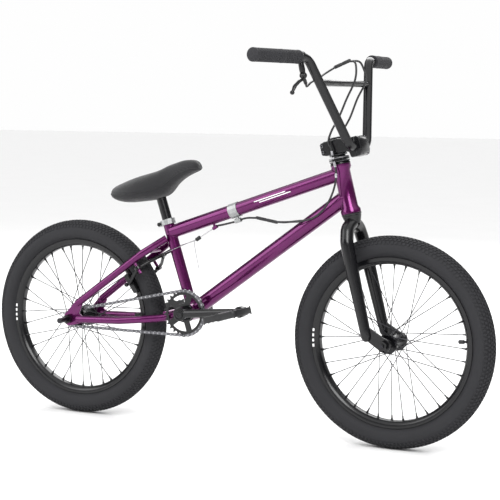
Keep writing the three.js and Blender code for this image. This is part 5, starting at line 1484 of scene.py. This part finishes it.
    def _crank_arm(self, name: str, side: int) -> None:
        """One tubular crank arm with its boss, pedal eye and pinch bolt."""
        heading = self.arm_heading(side)
        centre = PLACES.shell
        shell = Shell()
        profile = [(11.4, 52), (17, 52), (18, 53), (18, 71), (17, 72), (13, 72.6), (11.4, 72)]
        place = axis_place(centre, Vector((0, side, 0)))
        shell.turn(in_mm(profile), place)
        shell.turn(in_mm(((0, 71), (8.4, 71), (8.4, 74.4), (5, 75), (4.4, 73.4), (0, 73.4))), place, 32)
        eye = centre + heading * self.crank * MM
        profile = [(5, 62), (13, 62), (14, 63), (14, 79), (13, 80), (5, 80)]
        shell.turn(in_mm(profile), axis_place(eye, Vector((0, side, 0))))
        points, radii = [], []
        for i in range(13):
            share = i / 12
            away = 13 + share * 152
            middle = centre + heading * away * MM + Vector((0, side * (62 + 9 * share) * MM, 0))
            points.append(middle)
            radii.append((11.6 - 2.9 * share) * MM)
        shell.sweep(points, radii, 32)
        add_piece(shell.piece(f"crank_tube_{name}"), "cranks", Finish.BLACK, [f"crank_arm_{name}"], 0.4 * MM)

    def _pedal(self, name: str, side: int) -> None:
        """One platform pedal: its cage with windows, its barrel and its pins."""
        inner, outer = self.pedal_inner, self.pedal_outer
        half = self.pedal_half
        middle = (inner + outer) / 2
        body = self._rounded_box(inner, outer, -half, half, 12)
        windows = []
        for low, high in ((inner + 9, middle - 4.5), (middle + 4.5, outer - 9)):
            for rear, front in ((-half + 9, -11), (11, half - 9)):
                windows.append(self._rounded_box(low, high, rear, front, 4))
        outlines = [[(y * MM, x * MM) for y, x in outline] for outline in (body, *windows)]
        plate = flat_plate(f"pedal_cage_{name}", outlines, 16 * MM, 1.6 * MM)
        eye = PLACES.shell + self.arm_heading(side) * self.crank * MM
        tilt = Matrix.Rotation(-self.pedal_tilt, 4, "Y")
        lay = Matrix(((0, 1, 0, 0), (side, 0, 0, 0), (0, 0, 1, 0), (0, 0, 0, 1)))
        place = Matrix.Translation(eye) @ tilt @ lay
        plate.data.transform(place)
        if lay.determinant() < 0:
            plate.data.flip_normals()
        add_piece(plate, f"pedal_{name}", Finish.PLASTIC, [f"pedal_{name}"])
        shell = Shell()
        barrel = [(5.9, inner), (9, inner), (9.8, inner + 1), (9.8, outer - 1), (9, outer), (5.9, outer)]
        turn = Matrix.Translation(eye) @ tilt
        shell.turn(in_mm(barrel), turn @ axis_place(Vector(), Vector((0, side, 0))), 32)
        for y in [inner + 5 + k * (outer - inner - 10) / 4 for k in range(5)]:
            for x in (-half + 4.6, half - 4.6):
                for up in (-1, 1):
                    pin = turn @ axis_place(
                        Vector((x * MM, side * y * MM, up * 7.5 * MM)), Vector((0, 0, up))
                    )
                    profile = [(0, 0), (2.2, 0), (2.2, 1.4), (1.5, 1.6), (1.5, 2.6), (0, 2.6)]
                    shell.turn(in_mm(profile), pin, 10)
        add_piece(shell.piece(f"pedal_barrel_{name}"), f"pedal_{name}", Finish.PLASTIC, (), 0.2 * MM)

    @staticmethod
    def _rounded_box(
        low: float, high: float, rear: float, front: float, corner: float
    ) -> list[tuple[float, float]]:
        """A rectangle's outline with round corners."""
        outline = []
        centres = ((high - corner, front - corner, 0), (low + corner, front - corner, 90))
        centres += ((low + corner, rear + corner, 180), (high - corner, rear + corner, 270))
        for x, y, first in centres:
            for k in range(7):
                angle = math.radians(first + k * 15)
                outline.append((x + corner * math.cos(angle), y + corner * math.sin(angle)))
        return outline


# ------------------------------------------------------------------ seat
@dataclass
class Saddle:
    """The padded seat, its post and the clamp."""

    half_width: float = 65.0
    pivot_up: float = 324.0
    sections: tuple[tuple[float, float, float, float], ...] = (
        (-119, -1, -17, 0.5),
        (-115, 4, -24, 0.7),
        (-106, 9, -30, 0.86),
        (-90, 16, -35, 0.96),
        (-68, 25, -36, 1.0),
        (-42, 34, -33, 0.96),
        (-14, 42, -29, 0.82),
        (10, 50, -22, 0.64),
        (32, 61, -12, 0.48),
        (54, 69, 12, 0.38),
        (76, 76, 29, 0.34),
        (96, 78, 40, 0.32),
        (112, 75, 47, 0.28),
        (122, 66, 52, 0.16),
    )
    around: int = 48
    stations: int = 52
    edge_height: float = 0.34
    side_roundness: float = 0.78
    crown_roundness: float = 0.86
    belly_roundness: float = 0.6
    drawn_in: float = 0.16
    groove_width: float = 5.0
    groove_depth: float = 1.6
    piping_radius: float = 1.1 * MM
    post_radius: float = 12.7 * MM

    def build(self) -> None:
        """Builds the seat, its seam, its post and the clamp's finish."""
        self.pivot = PLACES.on_seat_tube(self.pivot_up * MM)
        self._cushion()
        self._post()
        keep_node("seat_clamp", Finish.GREY, 0.6 * MM)
        keep_node("seat_clamp_bolt", Finish.BLACK, 0.4 * MM)

    def _section(self, place: float) -> tuple[float, float, float, float]:
        """A smooth cross-section between the listed ones."""
        last = len(self.sections) - 1
        i = min(int(place), last - 1)
        t = place - i
        rows = [self.sections[max(0, min(last, i + k))] for k in (-1, 0, 1, 2)]
        mixed = []
        for a, b, c, d in zip(*rows):
            square = 2 * a - 5 * b + 4 * c - d
            cube = 3 * b - a - 3 * c + d
            mixed.append(0.5 * (2 * b + (c - a) * t + square * t * t + cube * t**3))
        return tuple(mixed)

    def _cushion(self) -> None:
        """The padded cover: crowned above, drawn in below a sewn edge."""
        around, stations = self.around, self.stations
        rings = []
        seam: dict[int, list[Vector]] = {-1: [], 1: []}
        for i in range(stations + 1):
            x, top, bottom, width = self._section(i / stations * (len(self.sections) - 1))
            half = self.half_width * max(width, 0.05)
            middle = bottom + (top - bottom) * self.edge_height
            ring = []
            for k in range(around):
                angle = 2 * math.pi * k / around
                cos, sin = math.cos(angle), math.sin(angle)
                left = half * math.copysign(abs(cos) ** self.side_roundness, cos)
                rise = (top - middle) if sin > 0 else (middle - bottom)
                roundness = self.crown_roundness if sin > 0 else self.belly_roundness
                height = middle + rise * math.copysign(abs(sin) ** roundness, sin)
                if sin < 0:
                    left *= 1 - self.drawn_in * abs(sin)
                groove = math.exp(-((left / self.groove_width) ** 2)) if sin > 0.8 else 0.0
                ring.append(self.pivot + Vector((x, left, height - groove * self.groove_depth)) * MM)
            rings.append(ring)
            for side in (-1, 1):
                seam[side].append(self.pivot + Vector((x, side * half * 0.995, middle)) * MM)
        shell = Shell()
        shell.rings(rings)
        piece = shell.piece("padded_seat")
        piece.data.flip_normals()
        smooth = piece.modifiers.new("crown", "SUBSURF")
        smooth.levels = 1
        smooth.render_levels = 1
        add_piece(piece, "seat", Finish.COVER, ["seat"])
        loop = seam[1] + seam[-1][::-1]
        piping = Shell()
        piping.sweep(smooth_route(loop[1:-1], 2), self.piping_radius, 8)
        add_piece(piping.piece("seat_piping"), "seat", Finish.PLASTIC)

    def _post(self) -> None:
        """The seat post and the head that the seat turns on."""
        shell = Shell()
        p = PLACES
        shell.sweep([p.on_seat_tube(0.143), p.on_seat_tube(0.318)], self.post_radius, 36)
        profile = [(0, -13), (13.4, -13), (14, -12), (14, 12), (13.4, 13), (0, 13)]
        shell.turn(in_mm(profile), axis_place(self.pivot, Y_AXIS), 36)
        add_piece(shell.piece("post_tube"), "seat_post", Finish.BLACK, ["seat_post"], 0.3 * MM)


# ------------------------------------------------------------------ brake and cables
@dataclass
class BrakeWork:
    """The lever, cables, detangler, straddle wire, arms and pads."""

    cable: float = 2.5 * MM
    ear: float = 33.0
    lower_barrel_foot: float = 436.7
    arm_radius: float = 4.5 * MM
    arm_layer: dict[str, float] = field(default_factory=lambda: {"right": -5.0, "left": -15.5})

    def build(self) -> None:
        """Builds every piece of the brake."""
        self._detangler()
        self._upper_cable()
        self._lower_cable()
        self._lever()
        for name, side in SIDES.items():
            self._arm(name, side)
            keep_node(f"brake_pad_{name}", Finish.PLASTIC, 0.8 * MM)
        keep_node("straddle_wire", Finish.STEEL, 0.0)
        keep_node("straddle_hanger", Finish.BLACK, 0.4 * MM)
        keep_node("top_tube_cable_clamp", Finish.GREY, 0.4 * MM)

    def _detangler(self) -> None:
        """The detangler's plates, rings and barrels."""
        parts = {
            "detangler_plate_low": (
                "detangler_lower_plate", "frame", Finish.DARK_STEEL, 17.1, 25, 448.3, 450.8
            ),
            "detangler_ring_low": (
                "detangler_lower_ring", "detangler_lower_ring", Finish.BLACK, 17.1, 25, 452.6, 456.1
            ),
            "detangler_ring_high": (
                "detangler_upper_ring", "detangler_upper_ring", Finish.STEEL, 17.1, 25, 456.4, 459.9
            ),
            "detangler_plate_high": (
                "detangler_upper_plate", "steering", Finish.DARK_STEEL, 14.9, 22, 464.5, 467.0
            ),
        }
        for name, (node, body, finish, inner, outer, low, high) in parts.items():
            outline = self._eared_outline(outer)
            hole = circle(inner, 40)
            loops = [[(x * MM, y * MM) for x, y in loop] for loop in (outline, hole)]
            plate = flat_plate(name, loops, (high - low) * MM, 0.35 * MM)
            plate.data.transform(PLACES.steering_place() @ Matrix.Translation((0, 0, (low + high) / 2 * MM)))
            add_piece(plate, body, finish, [node])
        self._barrels("detangler_barrels_low", "frame", 437, 449)
        self._barrels("detangler_barrels_high", "steering", 466.5, 476)

    def _eared_outline(self, outer: float) -> list[tuple[float, float]]:
        """A ring's outline with a round ear on each side."""
        outline = []
        for side in (1, -1):
            for k in range(9):
                angle = math.radians(-60 + k * 15) if side > 0 else math.radians(120 + k * 15)
                outline.append((outer * math.cos(angle), outer * math.sin(angle)))
            first = 0 if side > 0 else 180
            for k in range(13):
                angle = math.radians(first + k * 15)
                outline.append((4.6 * math.cos(angle), side * self.ear + 4.6 * math.sin(angle)))
        return outline

    def _barrels(self, name: str, body: str, low: float, high: float) -> None:
        """The adjusting barrels where the cables end."""
        shell = Shell()
        for side in (-1, 1):
            place = PLACES.steering_place() @ Matrix.Translation((0, side * self.ear * MM, 0))
            grooves = [(1.2, low), (3.1, low), (3.6, low + 1)]
            for k in range(4):
                grooves += [(3.6, low + 2 + k * 1.6), (3.2, low + 2.4 + k * 1.6), (3.6, low + 2.9 + k * 1.6)]
            grooves += [(3.6, high), (1.2, high)]
            shell.turn(in_mm(grooves), place, 20)
        add_piece(shell.piece(name), body, Finish.STEEL)

    def _above(self, ahead: float, left: float, up: float) -> Vector:
        """A point given from the bar's clamp, in the steering's axes."""
        return PLACES.steer_mm(Steering.reach + ahead, left, Steering.bar_up + up)

    def _upper_cable(self) -> None:
        """The cable from the lever that splits to both ears."""
        shell = Shell()
        start, end = self._above(-7, -25, 193), self._above(34, -12, 201.5)
        barrel = self.lever_barrel()
        away = (barrel - self.lever_pivot()).normalized()
        lead = [barrel + away * 1.8 * MM, barrel + away * 9 * MM, self._above(-18, -148, 158)]
        lead += [self._above(-17, -110, 167), self._above(-13, -60, 182), start.lerp(end, 0.1)]
        shell.sweep(smooth_route(lead), self.cable, 12)
        for side in (-1, 1):
            lean = 5 if side > 0 else 0
            route = [start.lerp(end, 0.8) + Vector((0, side * MM, 0))]
            route += [self._above(44 + lean, side * 8 - 9, 194), self._above(47 + lean, side * 16 - 7, 176)]
            route += [self._above(39 + lean, side * 27, 150), self._above(10, side * 31, 113)]
            route += [self._above(-20, side * 33, 74), self._above(-46, side * 34, 47)]
            route.append(PLACES.steer_mm(-3, side * 34, 498.6))
            route += [PLACES.steer_mm(0, side * self.ear, up) for up in (482.6, 476.4)]
            shell.sweep(smooth_route(route), self.cable, 12)
        self._splitter(shell, start, end)
        add_piece(shell.piece("upper_cable_housing"), "steering", Finish.PLASTIC, ["upper_brake_cable"])

    @staticmethod
    def _splitter(shell: Shell, start: Vector, end: Vector) -> None:
        """A splitter's barrel with rounded ends."""
        shares = (0.0, 0.03, 0.08, 0.45, 0.48, 0.52, 0.55, 0.92, 0.97, 1.0)
        radii = (2.6, 3.8, 4.2, 4.2, 3.8, 3.8, 4.2, 4.2, 3.8, 2.6)
        shell.sweep([start.lerp(end, s) for s in shares], [r * MM for r in radii], 20)

    def _lower_cable(self) -> None:
        """The cable from both lower ears to the stop under the top tube."""
        p = PLACES
        shell = Shell()
        start, end = p.on_top(246.5, 0, -34), p.on_top(301, 0, -63)
        rear = p.on_top(121, 0, -26.5)
        pull = (rear - p.on_top(70.7, 0, -38)).normalized()
        single = [
            rear + pull * 11.6 * MM, rear + pull * 15.5 * MM, p.on_top(150, 0, -24.5), p.on_top(168, 0, -26)
        ]
        single += [p.on_top(182, 0, -27), p.on_top(211, 0, -27), p.on_top(226, 0, -29), start.lerp(end, 0.1)]
        shell.sweep(smooth_route(single), self.cable, 12)
        top = self.lower_barrel_foot
        for side in (-1, 1):
            route = [start.lerp(end, 0.85) + Vector((0, side * MM, 0)), p.on_top(322, side * 8, -68.5)]
            route += [p.on_top(347, side * 18, -73.8), p.on_top(374.5, side * 25, -80)]
            route += [p.steer_mm(-85, side * 27, top - 104), p.steer_mm(-52, side * 29, top - 88)]
            route += [p.steer_mm(-24, side * 31, top - 60), p.steer_mm(-6, side * 33, top - 30)]
            route += [p.steer_mm(0, side * self.ear, top - 8), p.steer_mm(0, side * self.ear, top)]
            shell.sweep(smooth_route(route), self.cable, 12)
        self._splitter(shell, start, end)
        add_piece(shell.piece("lower_cable_housing"), "frame", Finish.PLASTIC, ["lower_brake_cable"])
        ferrules = Shell()
        for side in (-1, 1):
            low = p.steer_mm(-4.2, side * self.ear, top - 25)
            high = p.steer_mm(-1.6, side * self.ear, top - 15)
            ferrules.sweep(
                [low, low.lerp(high, 0.1), low.lerp(high, 0.9), high],
                [2.7 * MM, 3.3 * MM, 3.3 * MM, 2.7 * MM],
                16,
            )
        add_piece(ferrules.piece("cable_ferrules"), "frame", Finish.STEEL)

    @staticmethod
    def lever_pivot() -> Vector:
        """The brake lever's pivot."""
        return Vector(joint_of("brake_lever_pull")["pos_m"])

    def lever_barrel(self) -> Vector:
        """Where the upper cable's housing meets the lever's body."""
        return self.lever_pivot() + (PLACES.ahead * -8.4 + Vector((0, 22, 0)) + PLACES.along * -17) * MM

    def _lever(self) -> None:
        """The lever's body, and its blade as a flattened curve."""
        pivot = self.lever_pivot()
        self._lever_body(pivot)
        axis = Vector(joint_of("brake_lever_pull")["axis"]).normalized()
        outward = (PLACES.ahead * -0.169 + Vector((0, -0.984, 0)) + PLACES.along * 0.048).normalized()
        down = outward.cross(axis).normalized()
        route = [(0, 0), (2, 9), (14, 13), (31, 24), (40.6, 38.9)]
        centres = rounded([pivot + (outward * a + down * b) * MM for a, b in route], 12 * MM, 6)
        rings = []
        for i, centre in enumerate(centres):
            share = i / (len(centres) - 1)
            tangent = (centres[min(i + 1, len(centres) - 1)] - centres[max(i - 1, 0)]).normalized()
            normal = axis.cross(tangent).normalized()
            wide = (3.4 + 1.8 * share) * MM
            thin = (3.4 + 0.4 * share) * MM
            if i in (0, len(centres) - 1):
                wide, thin = wide * 0.6, thin * 0.6
            angles = [2 * math.pi * k / 20 for k in range(20)]
            rings.append(
                [centre + normal * (math.cos(a) * thin) + axis * (math.sin(a) * wide) for a in angles]
            )
        shell = Shell()
        shell.rings(rings)
        shell.turn(
            in_mm(((1.5, -3.3), (5.8, -3.3), (6.4, -2.6), (6.4, 2.6), (5.8, 3.3), (1.5, 3.3))),
            axis_place(pivot, axis),
            28,
        )
        ball = centres[-1]
        profile = [(5.3 * math.sin(a / 10 * math.pi), -5.3 * math.cos(a / 10 * math.pi)) for a in range(11)]
        shell.turn(in_mm(profile), axis_place(ball, axis), 20)
        add_piece(shell.piece("lever_blade"), "brake_lever", Finish.BLACK, ["brake_lever"])

    def _lever_body(self, pivot: Vector) -> None:
        """The lever's clamp round the bar, its body and its two cheeks."""
        p = PLACES
        bar = p.steer_mm(51.0, -205.0, 687.4)
        across = (
            p.steer_mm(*Steering().bar_end(-1, 60)) - p.steer_mm(*Steering().bar_end(-1, 10))
        ).normalized()
        shell = Shell()
        clamp = [(11.35, -5.4), (14.4, -5.4), (15.2, -4.6), (15.2, 4.6), (14.4, 5.4), (11.35, 5.4)]
        shell.turn(in_mm(clamp), axis_place(bar, across), 40)
        down = (pivot - bar).normalized()
        marks = (13.0, 16.0, 22.0, 28.0, 33.5, 34.8)
        shell.sweep(
            [bar + down * m * MM for m in marks], [r * MM for r in (5.6, 6.6, 6.8, 7.0, 6.6, 5.0)], 24
        )
        axis = Vector(joint_of("brake_lever_pull")["axis"]).normalized()
        for side in (-1, 1):
            cheek = [(0, 3.7), (5.4, 3.7), (6.0, 4.2), (6.0, 6.2), (5.4, 6.8), (0, 6.8)]
            shell.turn([(r * MM, side * h * MM) for r, h in cheek], axis_place(pivot, axis), 28)
            foot = pivot + axis * side * 5.2 * MM
            shell.sweep(
                [bar + down * 30 * MM + axis * side * 4.4 * MM, foot - down * 3 * MM, foot], 2.4 * MM, 16
            )
        barrel = self.lever_barrel()
        away = (barrel - pivot).normalized()
        start = pivot + away * 9.5 * MM
        shell.sweep(
            [start, start.lerp(barrel, 0.3), start.lerp(barrel, 0.9), barrel],
            [3.0 * MM, 4.3 * MM, 4.3 * MM, 3.4 * MM],
            20,
        )
        shell.sweep([bar + down * 31 * MM, start], 3.4 * MM, 16)
        add_piece(shell.piece("lever_body"), "steering", Finish.BLACK, ["brake_lever_bracket"])

    def _arm(self, name: str, side: int) -> None:
        """One brake arm, with its boss, bolt and anchor."""
        layer = self.arm_layer[name]
        p = PLACES
        route = [
            (189.75, side * 42, -21),
            (203.75, side * 42, -21),
            (p.brake_post_along, side * p.brake_post_left, layer),
        ]
        route += [(273.5, side * 27, layer), (310, -side * 14, layer), (322, -side * 26, layer)]
        points = rounded([p.on_stay(*step) for step in route], 18 * MM, 8)
        shell = Shell()
        shell.sweep(points, self.arm_radius, 20)
        up = (p.on_stay(0, 0, 1) - p.on_stay(0, 0, 0)).normalized()
        pivot = p.on_stay(p.brake_post_along, side * p.brake_post_left, layer)
        boss = [(4.4, -4.5), (8.2, -4.5), (9, -3.8), (9, 3.8), (8.2, 4.5), (4.4, 4.5)]
        shell.turn(in_mm(boss), axis_place(pivot, up), 32)
        anchor = [(1, -4.4), (5, -4.4), (5.5, -3.8), (5.5, 3.8), (5, 4.4), (1, 4.4)]
        shell.turn(in_mm(anchor), axis_place(p.on_stay(322, -side * 26, layer), up), 24)
        stud = [(1, 0), (5.4, 0), (5.4, 4), (4.6, 5), (1, 5)]
        shell.turn(in_mm(stud), axis_place(p.on_stay(193.75, side * 45.6, -21), Vector((0, side, 0))), 6)
        add_piece(shell.piece(f"arm_{name}"), f"brake_arm_{name}", Finish.BLACK, [f"brake_arm_{name}"])


# ------------------------------------------------------------------ axles
@dataclass
class Axles:
    """The axles and their nuts, which keep their shapes."""

    ends: tuple[str, ...] = ("front", "rear")

    def build(self) -> None:
        """Dresses each axle and nut."""
        for end in self.ends:
            keep_node(f"{end}_axle", Finish.SPOKE, 0.6 * MM)
            for name in SIDES:
                keep_node(f"{end}_axle_nut_{name}", Finish.BLACK, 1.0 * MM)


# ------------------------------------------------------------------ studio
@dataclass
class Studio:
    """The floor, lights and camera."""

    eye: tuple[float, float, float] = (1.8062, -3.3362, 0.8266)
    yaw: float = math.radians(27.657)
    pitch: float = math.radians(5.598)
    roll: float = math.radians(0.411)
    lens: float = 109.6
    sensor: float = 36.0
    floor_reach: float = 30.0
    aim: tuple[float, float, float] = (0.0, 0.0, 0.4)
    panels: tuple[tuple[str, tuple[float, float, float], float, float], ...] = (
        ("key", (2.4, -3.2, 3.4), 150.0, 2.4),
        ("fill", (-3.0, -2.4, 2.2), 70.0, 2.6),
        ("back", (-0.6, 3.2, 3.0), 90.0, 3.0),
    )
    sky_strength: float = 1.6
    sky_tones: tuple[tuple[float, float], ...] = (
        (0.0, 0.62), (0.09, 0.62), (0.16, 0.12), (0.5, 0.14), (0.68, 0.9)
    )

    def build(self) -> None:
        """Builds the whole studio."""
        bpy.context.scene.view_settings.view_transform = "Standard"
        self._floor()
        self._lights()
        self._camera()

    def _floor(self) -> None:
        """A wide pale floor."""
        reach = self.floor_reach
        corners = [(-reach, -reach, 0), (reach, -reach, 0), (reach, reach, 0), (-reach, reach, 0)]
        floor = mesh_piece("floor", corners, [(0, 1, 2, 3)])
        floor.data.materials.append(StudioFloor().make())

    def _lights(self) -> None:
        """A sky, bright low down and overhead, and three soft panels."""
        board = SkyBoard("studio_sky")
        where = board.add("ShaderNodeTexCoord", {}, {}).outputs["Generated"]
        parts = board.add("ShaderNodeSeparateXYZ", {}, {0: Signal(board, where)})
        stops = [(height, (tone, tone, tone)) for height, tone in self.sky_tones]
        ramp = board.add("ShaderNodeValToRGB", {"stops": stops}, {0: Signal(board, parts.outputs["Z"])})
        board.plug(board.shader.inputs["Color"], Signal(board, ramp.outputs[0]))
        board.plug(board.shader.inputs["Strength"], self.sky_strength)
        bpy.context.scene.world = board.world
        for name, place, power, size in self.panels:
            data = bpy.data.lights.new(name, "AREA")
            data.energy = power
            data.size = size
            lamp = bpy.data.objects.new(name, data)
            lamp.location = place
            heading = Vector(self.aim) - Vector(place)
            lamp.rotation_euler = heading.to_track_quat("-Z", "Y").to_euler()
            bpy.context.scene.collection.objects.link(lamp)

    def _camera(self) -> None:
        """The camera, to the bicycle's right and a little ahead of it."""
        cos_p, sin_p = math.cos(self.pitch), math.sin(self.pitch)
        forward = Vector((-math.sin(self.yaw) * cos_p, math.cos(self.yaw) * cos_p, -sin_p))
        right = Vector((math.cos(self.yaw), math.sin(self.yaw), 0.0))
        up = right.cross(forward)
        level_right = right * math.cos(self.roll) + up * math.sin(self.roll)
        level_up = up * math.cos(self.roll) - right * math.sin(self.roll)
        rows = Matrix((level_right, level_up, -forward)).transposed().to_4x4()
        rows.translation = Vector(self.eye)
        data = bpy.data.cameras.new("camera")
        data.lens = self.lens
        data.sensor_width = self.sensor
        camera = bpy.data.objects.new("camera", data)
        camera.matrix_world = rows
        bpy.context.scene.collection.objects.link(camera)
        bpy.context.scene.camera = camera


def main() -> None:
    """Builds the bicycle and its studio."""
    logging.basicConfig(level=logging.INFO)
    front = Wheel("front", "front_wheel", 24.0, 30.0, 5.0, 49.7, 49.7)
    rear = Wheel("rear", "rear_wheel", 28.0, 27.5, 7.0, 30.2, 54.7)
    builders: list[Callable[[], None]] = [
        Studio().build, FrameWork().build, Steering().build, front.build, rear.build
    ]
    builders += [Drive().build, Saddle().build, BrakeWork().build, Axles().build]
    for build in builders:
        build()


if __name__ == "__main__":
    main()
